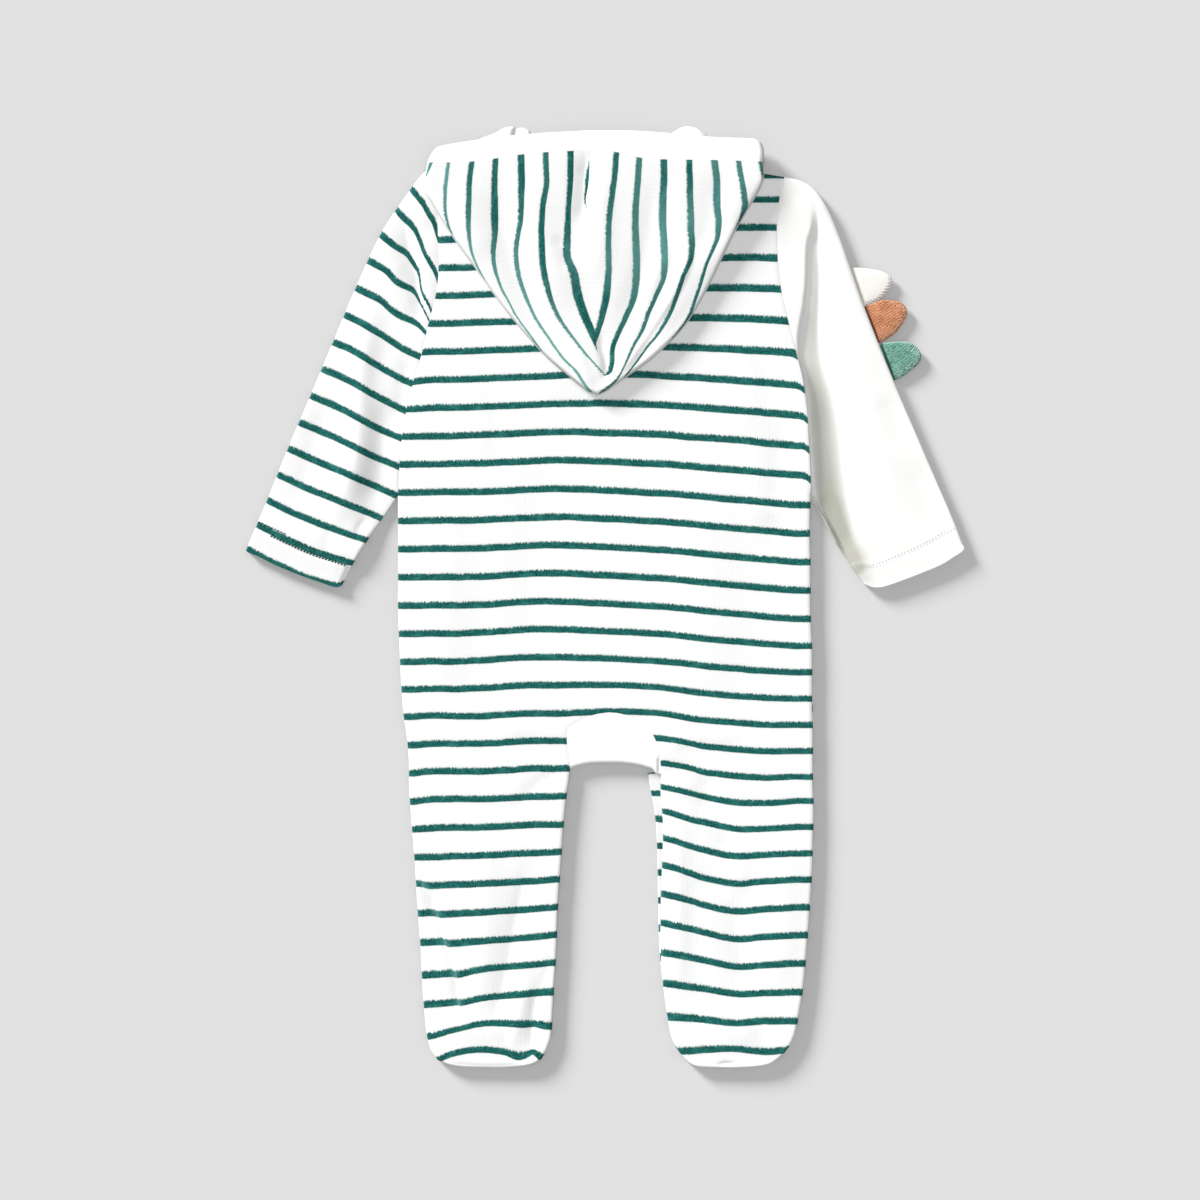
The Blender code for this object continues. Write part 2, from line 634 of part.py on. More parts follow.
def make_sleeve(name, rows, outer, inner, cuff, folds, wall, material, left):
    # A flattened tube, open at the cuff and at the armhole
    outer_edge, inner_edge = Curve(outer), Curve(inner)
    away = -SEAM_GAP if left else SEAM_GAP
    armhole = [Vector((row.side_x + away, row.side_y)) for row in rows[:UNDERARM_ROW + 1]]
    shares = [number / (SLEEVE_ROWS - 1) for number in range(SLEEVE_ROWS)]
    side = [outer_edge.at(share) for share in shares]
    across = [inner_edge.at(share) for share in shares]
    side[0] = armhole[0]
    across[0] = armhole[-1]
    seam = Curve(armhole, smooth=False)
    columns = []
    for down, start, end in zip(shares, side, across):
        even = column_shares((end - start).length, SLEEVE_ROLL, len(armhole) - 2, True)
        spread = list(even)
        for number, reach in enumerate(seam.reach[1:-1], start=len(ROLL_ANGLES)):
            spread[number] = reach / seam.reach[-1]
        columns.append([a * (1 - down) + b * down for a, b in zip(spread, even)])
    grid = patch(side, across, seam, Curve(cuff), columns)
    lines = [FoldLine(side if left else reversed(side)),
             FoldLine(reversed(across) if left else across)]
    lie = {"top": lambda point: SLEEVE_TOP, "rim": SLEEVE_MIDDLE, "roll": SLEEVE_ROLL,
           "wall": wall, "folds": folds, "deepest": DEEPEST_FOLD}
    over = [[top_wall(point, lines, lie) for point in row] for row in grid]
    under = [[under_wall(point, lines, lie) for point in row] for row in grid]
    for half in (over, under):
        for row in (0, -1):
            half[row] = hold_in_seam(half[row], grid[row])
    return make_wall(name, [over, under], material)


def make_spike(name, outline, material):
    # A padded tooth whose foot stands at the sleeve's edge and whose point droops
    tooth = smooth_line([Vector(point) for point in outline], SPIKE_SMOOTHING)
    form = bmesh.new()
    rim = [form.verts.new((point.x * MM, point.y * MM, 0.0)) for point in tooth]
    form.faces.new(rim)
    made = bmesh.ops.extrude_face_region(form, geom=form.faces[:])
    raised = [part for part in made["geom"] if isinstance(part, bmesh.types.BMVert)]
    bmesh.ops.translate(form, vec=(0.0, 0.0, FELT * MM), verts=raised)
    bmesh.ops.recalc_face_normals(form, faces=form.faces)
    edges = [edge for edge in form.edges
             if abs(edge.verts[0].co.z - edge.verts[1].co.z) < FELT * MM / 2]
    bmesh.ops.bevel(form, geom=edges, offset=SPIKE_EDGE * MM, segments=2, profile=0.5,
                    affect="EDGES", material=-1, clamp_overlap=True)
    foot = (tooth[0] + tooth[-1]) / 2 * MM
    run = (tooth[-1] - tooth[0]).normalized()
    out = Vector((-run.y, run.x))
    reach = max((point * MM - foot).dot(out) for point in tooth)
    for vertex in form.verts:
        share = (vertex.co.xy - foot).dot(out) / reach
        vertex.co.z += SPIKE_LIFT * MM * (1 - share)
    return finish_object(name, form, material)


def hood_halves():
    # Points of the hood's two halves and of the band beyond them, without gaps
    seam = Curve(HOOD_MIDDLE)
    rows = [number / (HOOD_ROWS - 1) for number in range(HOOD_ROWS)]
    halves = []
    plan = ((HOOD_LEFT, BAND_LOW_LEFT, BAND_TOP_LEFT), (HOOD_RIGHT, BAND_LOW_RIGHT, BAND_TOP_RIGHT))
    for outline, low, top in plan:
        edge = Curve(outline)
        side = [edge.at(share) for share in rows]
        middle = [seam.at(share) for share in rows]
        tip = Curve([side[-1], middle[-1]], smooth=False)
        shares = []
        for start, end in zip(side, middle):
            width = (end - start).length
            shares.append(column_shares(width, HOOD_ROLL, HOOD_COLUMNS, False))
        hood = patch(side, middle, Curve(low), tip, shares)
        band_low, band_top = hood[0], [Curve(top).at(share) for share in shares[0]]
        band = []
        drops = [1 - math.cos(angle) for angle in ROLL_ANGLES]
        for drop in drops:
            line = []
            for high, foot in zip(band_top, band_low):
                length = (foot - high).length
                line.append(high.lerp(foot, min(drop * HOOD_ROLL / length, 0.8)))
            band.append(line)
        band.append(band_low)
        halves.append((hood, band))
    return halves


def hood_fold_line(halves):
    # Once round the folded hood, with the cloth on the left of the walk
    (left_hood, left_band), (right_hood, right_band) = halves
    line = list(reversed(left_band[0]))
    line = right_band[0] + line[1:]
    line += [row[0] for row in left_band[1:]]
    line += [row[0] for row in left_hood[1:]]
    line += [left_hood[-1][-1]]
    line += [row[0] for row in reversed(right_hood[1:])]
    line += [row[0] for row in reversed(right_band[1:])]
    line.append(right_band[0][0])
    return FoldLine(line)


def hood_top(point):
    # Full at the band and lower towards the tip
    share = (HOOD_LEFT[0][1] - point.y) / (HOOD_LEFT[0][1] - HOOD_TIP[1])
    return HOOD_TOP - HOOD_TIP_DROP * min(max(share, 0.0), 1.0)


def hood_wall(point, lines, depth):
    lie = {"top": hood_top, "rim": HOOD_RIM, "roll": HOOD_ROLL, "wall": depth,
           "folds": HOOD_FOLDS, "deepest": HOOD_DEEPEST}
    return top_wall(point, lines, lie)


def shifted(pairs, step):
    return [(outer + step, inner + step) for outer, inner in pairs]


def make_hood():
    halves = hood_halves()
    lines = [hood_fold_line(halves)]
    inner_depth = VELOUR + CORE_GAP
    pieces, band_wall, core = [], [], []
    for name, (hood, band), turn in zip(("hood_left", "hood_right"), halves, (-1, 1)):
        seam_line = [row[-1] for row in hood]
        wall = [[hood_wall(point, lines, VELOUR) for point in row] for row in hood]
        seam = hold_in_seam([row[-1] for row in wall], seam_line)
        for row, pair in zip(wall, seam):
            row[-1] = shifted([pair], Vector((turn * SEAM_GAP / 2, 0, 0)))[0]
        wall[0] = hold_in_seam(wall[0], hood[0])
        pieces.append(make_wall(name, [wall], "velour"))
        strip = [[hood_wall(point, lines, JERSEY) for point in row] for row in band]
        strip[-1] = shifted(hold_in_seam(strip[-1], band[-1]), Vector((0, SEAM_GAP, 0)))
        band_wall.append(strip)
        under = []
        for row in band[:-1] + hood:
            line = []
            for point in row:
                outer, inner = hood_wall(point, lines, inner_depth)
                line.append((inner, Vector((inner.x, inner.y, HOOD_RIM))))
            under.append(line)
        core.append(under)
    pieces.append(make_wall("hood_band", band_wall, "jersey"))
    pieces.append(make_wall("hood_inner", core, "jersey"))
    return pieces


def make_lining():
    # Low folded edge of the hood, between the back's neck and the band's edge
    near = Curve([*BACK_NECK_LEFT, *reversed(BACK_NECK_RIGHT[:-1])], smooth=False)
    far = Curve([*BAND_TOP_LEFT, *reversed(BAND_TOP_RIGHT[:-1])])
    drops = [LINING_ROLL * (1 - math.cos(angle)) for angle in ROLL_ANGLES]
    edge, base = [], []
    for number in range(LINING_COLUMNS):
        x = LINING_LEFT_X + (LINING_RIGHT_X - LINING_LEFT_X) * number / (LINING_COLUMNS - 1)
        out = -LINING_INSET
        for bump in BUMPS:
            out += bump.out * math.exp(-((x - bump.x) / bump.half_width) ** 4)
        edge.append(Vector((x, line_height(far, x) + out)))
        base.append(Vector((x, line_height(near, x) + NECK_GAP)))
    fold = [base[-1]] + list(reversed(edge)) + [base[0]]
    lines = [FoldLine(fold)]
    lie = {"top": lambda point: BODY_TOP, "rim": BODY_TOP / 2, "roll": LINING_ROLL,
           "wall": 0.0, "folds": [], "deepest": 0.0}
    over, under = [], []
    for start, end in zip(base, edge):
        length = (end - start).length
        shares = [0.0, 0.5] + [1 - drop / length for drop in reversed(drops)]
        line = [start.lerp(end, share) for share in shares]
        over.append([top_wall(point, lines, lie)[0] for point in line])
        under.append([under_wall(point, lines, lie)[0] for point in line])
    wall = [list(zip(high, low)) for high, low in zip(over, under)]
    return make_wall("hood_lining", [wall], "jersey")


def line_height(curve, x):
    # Height of a curve that runs from left to right, at a given x
    for start, end in zip(curve.points, curve.points[1:]):
        if start.x <= x <= end.x:
            return start.y + (end.y - start.y) * (x - start.x) / (end.x - start.x)
    return curve.points[0].y if x < curve.points[0].x else curve.points[-1].y


def main():
    for leftover in list(bpy.data.objects):
        bpy.data.objects.remove(leftover)
    make_back()
    make_front("front_left", BACK_LEFT, FRONT_NECK_LEFT, FOOT_LEFT, CORNER_ROW_LEFT,
               PLACKET_LEFT, False)
    make_front("front_right", BACK_RIGHT, FRONT_NECK_RIGHT, FOOT_RIGHT, CORNER_ROW_RIGHT,
               PLACKET_RIGHT, True)
    make_placket()
    make_gusset()
    make_sleeve("sleeve_left", BACK_LEFT, SLEEVE_LEFT_OUTER, SLEEVE_LEFT_INNER,
                SLEEVE_LEFT_CUFF, SLEEVE_LEFT_FOLDS, VELOUR, "velour", True)
    make_sleeve("sleeve_right", BACK_RIGHT, SLEEVE_RIGHT_OUTER, SLEEVE_RIGHT_INNER,
                SLEEVE_RIGHT_CUFF, SLEEVE_RIGHT_FOLDS, JERSEY, "jersey", False)
    make_spike("spike_cream", SPIKE_CREAM, "felt_cream")
    make_spike("spike_rust", SPIKE_RUST, "felt_rust")
    make_spike("spike_green", SPIKE_GREEN, "felt_green")
    make_hood()
    make_lining()


main()
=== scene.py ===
import math

import bmesh
import bpy
import numpy as np
from mathutils import Matrix, Vector


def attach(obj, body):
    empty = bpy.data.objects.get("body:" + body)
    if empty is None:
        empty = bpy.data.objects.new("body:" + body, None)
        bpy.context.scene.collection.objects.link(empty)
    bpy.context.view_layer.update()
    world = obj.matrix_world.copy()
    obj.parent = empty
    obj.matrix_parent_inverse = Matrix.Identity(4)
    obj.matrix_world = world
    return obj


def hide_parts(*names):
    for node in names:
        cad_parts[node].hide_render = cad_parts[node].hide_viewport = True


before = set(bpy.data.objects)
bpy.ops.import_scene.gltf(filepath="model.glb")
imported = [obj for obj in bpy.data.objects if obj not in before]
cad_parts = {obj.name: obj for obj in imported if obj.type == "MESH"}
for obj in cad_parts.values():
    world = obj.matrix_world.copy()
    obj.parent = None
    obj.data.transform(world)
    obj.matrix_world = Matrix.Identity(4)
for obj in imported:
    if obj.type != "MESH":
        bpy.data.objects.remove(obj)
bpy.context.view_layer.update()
print("frame loaded with", len(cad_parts), "nodes")

mm = 0.001
pitch = 18.05  # from one stripe to the next
plainHalf = 0.125  # half a stripe's width as a share of the pitch
velour = 1.8  # thickness of the cloths
jersey = 1.4
rowSteps = 8  # fine rows between two rows of a table
endBow = 6  # how soon a panel's rows straighten out, away from its curved end
mergeGap = 0.02  # nearer points of two joined forms become one
leastEdge = 0.002  # shorter edges are dissolved


# the camera looks straight down, and the key lamp shines from the upper left; turns and
# softness are in degrees
studio = {
    "centre": (-3.84, -1.6), "height": 4000.0, "lens": 187.5, "sensor": 36.0, "clipEnd": 20.0,
    "floorHalf": 3000.0, "floorDrop": 0.15, "floorGrey": 0.715,
    "keyTurn": (0.0, 72.0, 135.0), "keyStrength": 4.66, "keySoftness": 15.0,
    "skyStrength": 0.30, "fillStrength": 0.958,
}


def setStudio(look):
    scene = bpy.context.scene
    scene.view_settings.view_transform = "Standard"
    camera = bpy.data.objects.new("camera", bpy.data.cameras.new("camera"))
    camera.location = (look["centre"][0] * mm, look["centre"][1] * mm, look["height"] * mm)
    camera.data.lens = look["lens"]
    camera.data.sensor_width = look["sensor"]
    camera.data.clip_end = look["clipEnd"]
    scene.collection.objects.link(camera)
    scene.camera = camera

    for name, strength in (("key", look["keyStrength"]), ("fill", look["fillStrength"])):
        sun = bpy.data.lights.new(name, "SUN")
        sun.energy = strength
        sun.cycles.max_bounces = 0  # the white edges throw no glow on the floor
        lamp = bpy.data.objects.new(name, sun)
        scene.collection.objects.link(lamp)
        if name == "key":
            sun.angle = math.radians(look["keySoftness"])
            lamp.rotation_euler = [math.radians(turn) for turn in look["keyTurn"]]
        else:
            sun.use_shadow = False  # straight from above, to lighten the shadows

    sky = bpy.data.worlds.new("studio")
    sky.use_nodes = True
    sky.node_tree.nodes["Background"].inputs["Color"].default_value = (1.0, 1.0, 1.0, 1.0)
    sky.node_tree.nodes["Background"].inputs["Strength"].default_value = look["skyStrength"]
    scene.world = sky

    form = bmesh.new()
    bmesh.ops.create_grid(form, x_segments=1, y_segments=1, size=look["floorHalf"] * mm)
    bmesh.ops.translate(form, vec=(0.0, 0.0, -look["floorDrop"] * mm), verts=form.verts)
    mesh = bpy.data.meshes.new("floor")
    form.to_mesh(mesh)
    form.free()
    floor = bpy.data.objects.new("floor", mesh)
    scene.collection.objects.link(floor)
    paper = bpy.data.materials.new("palePaper")
    paper.use_nodes = True
    shader = paper.node_tree.nodes["Principled BSDF"]
    shader.inputs["Base Color"].default_value = (*[look["floorGrey"]] * 3, 1.0)
    shader.inputs["Roughness"].default_value = 1.0
    shader.inputs["Specular IOR Level"].default_value = 0.0
    mesh.materials.append(paper)


setStudio(studio)
print("camera, light and floor set")


def smoothLine(points, steps=rowSteps):
    # a smooth curve through the points, with some steps between each pair
    line = np.array(points, float)
    ends = np.vstack([2 * line[0] - line[1], line, 2 * line[-1] - line[-2]])
    share = np.arange(steps)[:, None] / steps
    made = []
    for before, start, end, after in zip(ends, ends[1:], ends[2:], ends[3:]):
        made.append(start + 0.5 * ((end - before) * share
                                   + (2 * before - 5 * start + 4 * end - after) * share ** 2
                                   + (3 * start - before - 3 * end + after) * share ** 3))
    return np.vstack([*made, line[-1:]])


def alongLine(line, share):
    # points of a line by the share of its length
    reach = np.append(0.0, np.cumsum(np.linalg.norm(np.diff(line, axis=0), axis=1)))
    return np.column_stack([np.interp(share * reach[-1], reach, axis) for axis in line.T])


def nearLine(points, line):
    # each point's distance to a line, its share along it, and its side of it
    steps = np.diff(line, axis=0)
    lengths = np.linalg.norm(steps, axis=1)
    reach = np.append(0.0, np.cumsum(lengths))
    far = np.full(len(points), np.inf)
    share = np.zeros(len(points))
    side = np.zeros(len(points))
    for start, step, length, before in zip(line, steps, lengths, reach):
        off = points - start
        part = np.clip(off @ step / length ** 2, 0.0, 1.0)
        gap = np.hypot(off[:, 0] - part * step[0], off[:, 1] - part * step[1])
        nearer = gap < far
        turn = step[0] * off[:, 1] - step[1] * off[:, 0]
        far = np.where(nearer, gap, far)
        share = np.where(nearer, (before + part * length) / reach[-1], share)
        side = np.where(nearer, np.sign(turn), side)
    return far, share, side


def rollUp(distance, roll):
    # rises from 0 at a folded edge to 1 where the cloth lies flat
    return np.sqrt(1.0 - (1.0 - np.clip(distance / roll, 0.0, 1.0)) ** 2)


def easeIn(value, low, high):
    share = np.clip((value - low) / (high - low), 0.0, 1.0)
    return share * share * (3.0 - 2.0 * share)


def readEven(share, values):
    # reads a number, or a list of numbers evenly spread along a line
    values = np.atleast_1d(values)
    return np.interp(share, np.linspace(0.0, 1.0, len(values)), values)


creaseSteps = 4  # fine steps between two points of a crease's route
usualFade = 0.3
endSlack = 0.02  # a crease dies away so far past its ends


def creaseShare(points, crease):
    # how much of one crease each point has. A crease has a route and a width to both sides,
    # and it may have: fade, the share of its length in which each end dies away; lean, for a
    # steeper left flank; edge, for a left flank alone that starts sharply; to, a second route
    # up to which it stays as deep; and along, its strength from one end to the other
    far, share, side = nearLine(points, smoothLine(crease["route"], creaseSteps))
    fade = crease.get("fade", usualFade)
    ends = easeIn(share, -endSlack, fade) * easeIn(1.0 - share, -endSlack, fade)
    ends = ends * readEven(share, crease.get("along", [1.0]))
    if "edge" in crease:
        ends *= easeIn(far * side, -crease["edge"], crease["edge"])
    if "to" not in crease:
        width = readEven(share, crease["width"]) * (1.0 - crease.get("lean", 0.0) * side)
        return ends * np.exp(-(far / width) ** 2)
    far, share, side = nearLine(points, smoothLine(crease["to"], creaseSteps))
    return ends * easeIn(-far * side / readEven(share, crease["toEdge"]), -1.0, 1.0)


def creaseHeight(points, creases, key="height"):
    # soft ridges and troughs along smooth routes; read with another key, it sums that key instead, such as
    # the painted shade in a hollow
    return sum(crease.get(key, 0.0) * creaseShare(points, crease) for crease in creases)


def seamDip(points, line, depth, width):
    far = nearLine(points, line)[0]
    return -depth * np.exp(-(far / width) ** 2)


stripeSteps = 6  # fine steps between two points of a stripe
drawnOn = 40.0  # how far a stripe's line is drawn on past both of its ends
leastApart = 0.5  # two stripes count as no closer than this


def readKnots(at, knots, values):
    line = smoothLine(np.column_stack([knots, values]), stripeSteps)
    return np.interp(at, line[:, 0], line[:, 1])


def stripesBetween(points, lines, heading):
    # numbers the stripes: a whole number on each line, read straight between two lines
    along = np.array([math.cos(math.radians(heading)), math.sin(math.radians(heading))])
    across = np.array([along[1], -along[0]])
    run, place = points @ along, points @ across
    found = []
    for line in lines:
        smooth = smoothLine(line, stripeSteps) if len(line) > 2 else np.array(line, float)
        back, ahead = smooth[0] - smooth[1], smooth[-1] - smooth[-2]
        first = smooth[0] + back * drawnOn / np.linalg.norm(back)
        last = smooth[-1] + ahead * drawnOn / np.linalg.norm(ahead)
        smooth = np.vstack([first, smooth, last])
        runs, places = smooth @ along, smooth @ across
        order = np.argsort(runs)
        found.append(np.interp(run, runs[order], places[order]))
    number = (place - found[0]) / pitch
    for step, (low, high) in enumerate(zip(found, found[1:])):
        gap = np.maximum(high - low, leastApart)
        number = np.where(place >= low, step + np.minimum((place - low) / gap, 1.0), number)
    beyond = len(lines) - 1 + (place - found[-1]) / pitch
    return np.where(place >= found[-1], beyond, number), run / pitch


def srgb(red, green, blue):
    # screen tones from 0 to 255 as linear light, by the standard's own curve
    tones = [tone / 255.0 for tone in (red, green, blue)]
    return tuple(tone / 12.92 if tone <= 0.04045 else ((tone + 0.055) / 1.055) ** 2.4 for tone in tones)


class Wire:
    # a socket that can be added to, multiplied and so on

    def __init__(self, shader, socket):
        self.shader = shader
        self.socket = socket

    def other(self, key):
        return Wire(self.shader, self.socket.node.outputs[key])

    def math(self, operation, *values):
        sockets = {0: self, **dict(enumerate(values, start=1))}
        return self.shader.node("ShaderNodeMath", {"operation": operation}, sockets)

    def __add__(self, value):
        return self.math("ADD", value)

    def __sub__(self, value):
        return self.math("SUBTRACT", value)

    def __rsub__(self, value):
        return self.math("MULTIPLY_ADD", -1.0, value)

    def __mul__(self, value):
        return self.math("MULTIPLY", value)

    __radd__ = __add__
    __rmul__ = __mul__

    def ease(self, low, high):
        # 0 below low, 1 above high, smooth between
        return self.shader.node("ShaderNodeMapRange", {"interpolation_type": "SMOOTHSTEP"},
                                {"Value": self, "From Min": low, "From Max": high})


class Finish:
    # one material and its nodes

    def __init__(self, name):
        self.material = bpy.data.materials.new(name)
        self.material.use_nodes = True
        self.tree = self.material.node_tree
        self.shader = self.tree.nodes["Principled BSDF"]

    def node(self, kind, settings=None, values=None):
        made = self.tree.nodes.new(kind)
        for name, value in (settings or {}).items():
            setattr(made, name, value)
        self.feed(made, values or {})
        return Wire(self, made.outputs[0])

    def feed(self, node, values):
        for key, value in values.items():
            if isinstance(value, Wire):
                self.tree.links.new(value.socket, node.inputs[key])
            else:
                node.inputs[key].default_value = value

    def stretched(self, vector, scales):
        return self.node("ShaderNodeVectorMath", {"operation": "MULTIPLY"}, {0: vector, 1: scales})

    def noise(self, vector, scales, detail):
        values = {"Vector": self.stretched(vector, scales), "Scale": 1.0, "Detail": detail}
        return self.node("ShaderNodeTexNoise", {}, values)

    def clothMap(self, name):
        # one of the cloth's maps, and both of its coordinates
        flat = self.node("ShaderNodeUVMap", {"uv_map": name})
        parts = self.node("ShaderNodeSeparateXYZ", {}, {0: flat})
        return flat, parts.other(0), parts.other(1)

    def mixed(self, factor, first, second):
        # a Mix node has its colours on inputs 6 and 7 and on output 2
        made = self.node("ShaderNodeMix", {"data_type": "RGBA"}, {0: factor})
        for key, value in ((6, first), (7, second)):
            self.feed(made.socket.node, {key: value if isinstance(value, Wire) else (*value, 1.0)})
        return made.other(2)

    def bumped(self, height, strength, distance):
        return self.node("ShaderNodeBump", {}, {"Height": height, "Strength": strength,
                                                "Distance": distance})

    def finish(self, values):
        self.feed(self.shader, values)
        return self.material


velourLook = {
    "deep": (0, 54, 52), "teal": (30, 112, 106), "worn": (56, 140, 131), "pale": (122, 182, 176),
    "white": (250, 251, 250), "haze": (210, 222, 219), "groove": (238, 240, 239), "wales": 22.0,
    # each noise has its scales on the cloth's map, in parts of the pitch, and its detail
    "hairs": ((40.0, 6.0, 1.0), 2.0), "tufts": ((12.0, 5.0, 1.0), 2.0),
    "waver": ((1.1, 0.9, 1.0), 1.0), "speckle": ((25.0, 22.0, 1.0), 3.0),
    "patches": ((2.3, 4.0, 1.0), 2.0), "wear": ((9.0, 9.0, 1.0), 2.0), "wavering": 0.05,
    # how much hairs and tufts fray a stripe's two edges, and where each begins and ends
    "upperEdge": {"hairs": 0.21, "tufts": 0.04, "soft": (-0.022, 0.024)},
    "lowerEdge": {"hairs": 0.05, "tufts": 0.02, "soft": (-0.010, 0.016)},
    "upperHaze": {"hairs": 0.35, "out": 0.04, "soft": (-0.05, 0.05)},
    "lowerHaze": {"hairs": 0.2, "out": 0.03, "soft": (-0.04, 0.04)},
    "tealFrom": (0.40, 0.58), "patchShare": 0.6, "wearShare": 0.4, "wornFrom": (0.44, 0.72),
    "wornMost": 0.6, "hazeMost": 0.4, "grooveMost": 0.25,
    "relief": {"speckle": 0.5, "hairs": 0.8, "wales": 0.12, "wear": 0.7}, "bump": (0.3, 0.0004),
    "surface": {"Roughness": 0.92, "Specular IOR Level": 0.15, "Sheen Weight": 0.08,
                "Sheen Roughness": 0.5},
}


def makeVelour(name, look):
    # the cloth's own map counts the stripes, a second one gives their half width and fading
    finish = Finish(name)
    cloth, across, count = finish.clothMap("cloth")
    halfStripe, fading = finish.clothMap("look")[1:]
    hairs = finish.noise(cloth, *look["hairs"]) - 0.5
    tufts = finish.noise(cloth, *look["tufts"]) - 0.5
    waver = finish.noise(cloth, *look["waver"]) - 0.5
    place = (count + waver * look["wavering"] + 0.5).math("FRACT") - 0.5
    upper, lower = look["upperEdge"], look["lowerEdge"]
    above = place + hairs * upper["hairs"] + tufts * upper["tufts"] + halfStripe
    below = halfStripe - place + hairs * lower["hairs"] + tufts * lower["tufts"]
    stripe = above.ease(*upper["soft"]) * below.ease(*lower["soft"])
    upper, lower = look["upperHaze"], look["lowerHaze"]
    above = place + hairs * upper["hairs"] + halfStripe + upper["out"]
    below = halfStripe - place + hairs * lower["hairs"] + lower["out"]
    haze = above.ease(*upper["soft"]) * below.ease(*lower["soft"])
    speckle = finish.noise(cloth, *look["speckle"])
    patches = finish.noise(cloth, *look["patches"])
    wear = finish.noise(cloth, *look["wear"])
    green = finish.mixed(speckle.ease(*look["tealFrom"]), srgb(*look["deep"]), srgb(*look["teal"]))
    worn = (patches * look["patchShare"] + wear * look["wearShare"]).ease(*look["wornFrom"])
    green = finish.mixed(worn * look["wornMost"], green, srgb(*look["worn"]))
    green = finish.mixed(fading, green, srgb(*look["pale"]))
    ground = finish.mixed(haze * look["hazeMost"], srgb(*look["white"]), srgb(*look["haze"]))
    wales = (across * (2.0 * math.pi * look["wales"])).math("SINE")
    ground = finish.mixed(wales.ease(0.0, 1.0) * look["grooveMost"], ground, srgb(*look["groove"]))
    relief = look["relief"]
    pile = (speckle * relief["speckle"] + hairs * relief["hairs"] + wales * relief["wales"]
            + wear * relief["wear"])
    return finish.finish({**look["surface"], "Base Color": finish.mixed(stripe, ground, green),
                          "Normal": finish.bumped(pile, *look["bump"])})


jerseyLook = {
    # hollow is the grey painted into the right sleeve's hollow as shade
    "white": (255, 255, 254), "groove": (246, 246, 241), "hollow": (176, 176, 163),
    "wale": 0.62, "course": 0.48, "waleShare": 0.6, "crossShare": 0.4, "whiteFrom": (-1.0, 0.3),
    "cloud": ((90.0, 90.0, 90.0), 3.0), "knitRelief": 0.3, "bump": (0.25, 0.0004),
    "surface": {"Roughness": 0.9, "Specular IOR Level": 0.2, "Sheen Weight": 0.15,
                "Sheen Roughness": 0.5},
}


def makeJersey(name, look):
    finish = Finish(name)
    place = finish.node("ShaderNodeTexCoord").other("Object")
    parts = finish.node("ShaderNodeSeparateXYZ", {}, {0: place})
    turn = 2.0 * math.pi / mm
    wales = (parts.other(0) * (turn / look["wale"])).math("SINE")
    courses = (parts.other(1) * (turn / look["course"])).math("SINE")
    knit = wales * look["waleShare"] + wales * courses * look["crossShare"]
    cloud = finish.noise(place, *look["cloud"])
    colour = finish.mixed(knit.ease(*look["whiteFrom"]), srgb(*look["groove"]), srgb(*look["white"]))
    # painted shade: the look map's second coordinate greys the jersey towards the hollow colour
    colour = finish.mixed(finish.clothMap("look")[2], colour, srgb(*look["hollow"]))
    return finish.finish({**look["surface"], "Base Color": colour,
                          "Normal": finish.bumped(knit * look["knitRelief"] + cloud, *look["bump"])})


# in millimetres: the spacing of the ribs and of the stitches over the rim (rib, loop), how
# far in the stitches end and begin (rim, edge), and from where along the rim they show (from)
# foot is the colour of the painted shadow line at the foot, and top the strength of the painted highlight on
# the upper rim
ribLooks = {
    "creamRib": {
        "ridge": (255, 254, 250), "groove": (242, 238, 231), "rib": 1.6, "loop": 2.5, "slant": 1.2,
        "rim": 1.9, "edge": 0.35, "from": 23.0, "stroke": (255, 254, 252), "gap": (160, 140, 126),
        "gapMost": 0.8, "knit": 0.1, "ribbed": 0.15, "foot": (214, 203, 192), "top": 0.0,
    },
    "rustRib": {
        "ridge": (246, 180, 138), "groove": (146, 78, 44), "rib": 1.6, "loop": 1.5, "slant": 0.2,
        "rim": 3.2, "edge": 0.1, "from": 14.0, "stroke": (244, 202, 168), "gap": (150, 84, 48),
        "gapMost": 0.2, "knit": 0.6, "ribbed": 0.8, "foot": (92, 44, 24), "top": 0.25,
    },
    "greenRib": {
        "ridge": (158, 206, 190), "groove": (44, 108, 90), "rib": 1.7, "loop": 1.5, "slant": 0.2,
        "rim": 4.2, "edge": 0.1, "from": 16.0, "stroke": (190, 226, 212), "gap": (52, 112, 94),
        "gapMost": 0.15, "knit": 0.75, "ribbed": 0.7, "foot": (16, 66, 54), "top": 0.6,
    },
}

# what all three ribs share: the noises with their scales and detail, and in pairs from
# where to where something sets in
ribKnit = {
    "waver": ((0.25, 0.25, 1.0), 1.0), "fuzz": ((0.7, 1.9, 1.0), 3.0),
    "breaks": ((0.6, 0.8, 1.0), 1.0), "patches": ((0.16, 0.16, 1.0), 2.0),
    "strokes": ((0.42, 1.5, 1.0), 1.0), "ribWaver": 1.6, "loopWaver": 0.8,
    "unbroken": (0.36, 0.60), "ribShare": 0.3, "fuzzShare": 1.4, "patchShare": 0.6,
    "ridgeFrom": (0.5, 1.6), "runLength": 6.0, "rimSoft": 0.9, "edgeSoft": 0.3,
    "loopFrom": (-0.8, 0.3), "strokeFrom": (0.48, 0.58), "rimHighlightFrom": (0.2, 0.9),
    "footShadeFrom": (16.0, 30.0), "footShadeMost": 0.85, "shadeRelief": 0.7, "loopRelief": 0.6,
    "bump": (0.6, 0.0005),
    "surface": {"Roughness": 0.92, "Specular IOR Level": 0.2, "Sheen Weight": 0.2,
                "Sheen Roughness": 0.5},
}


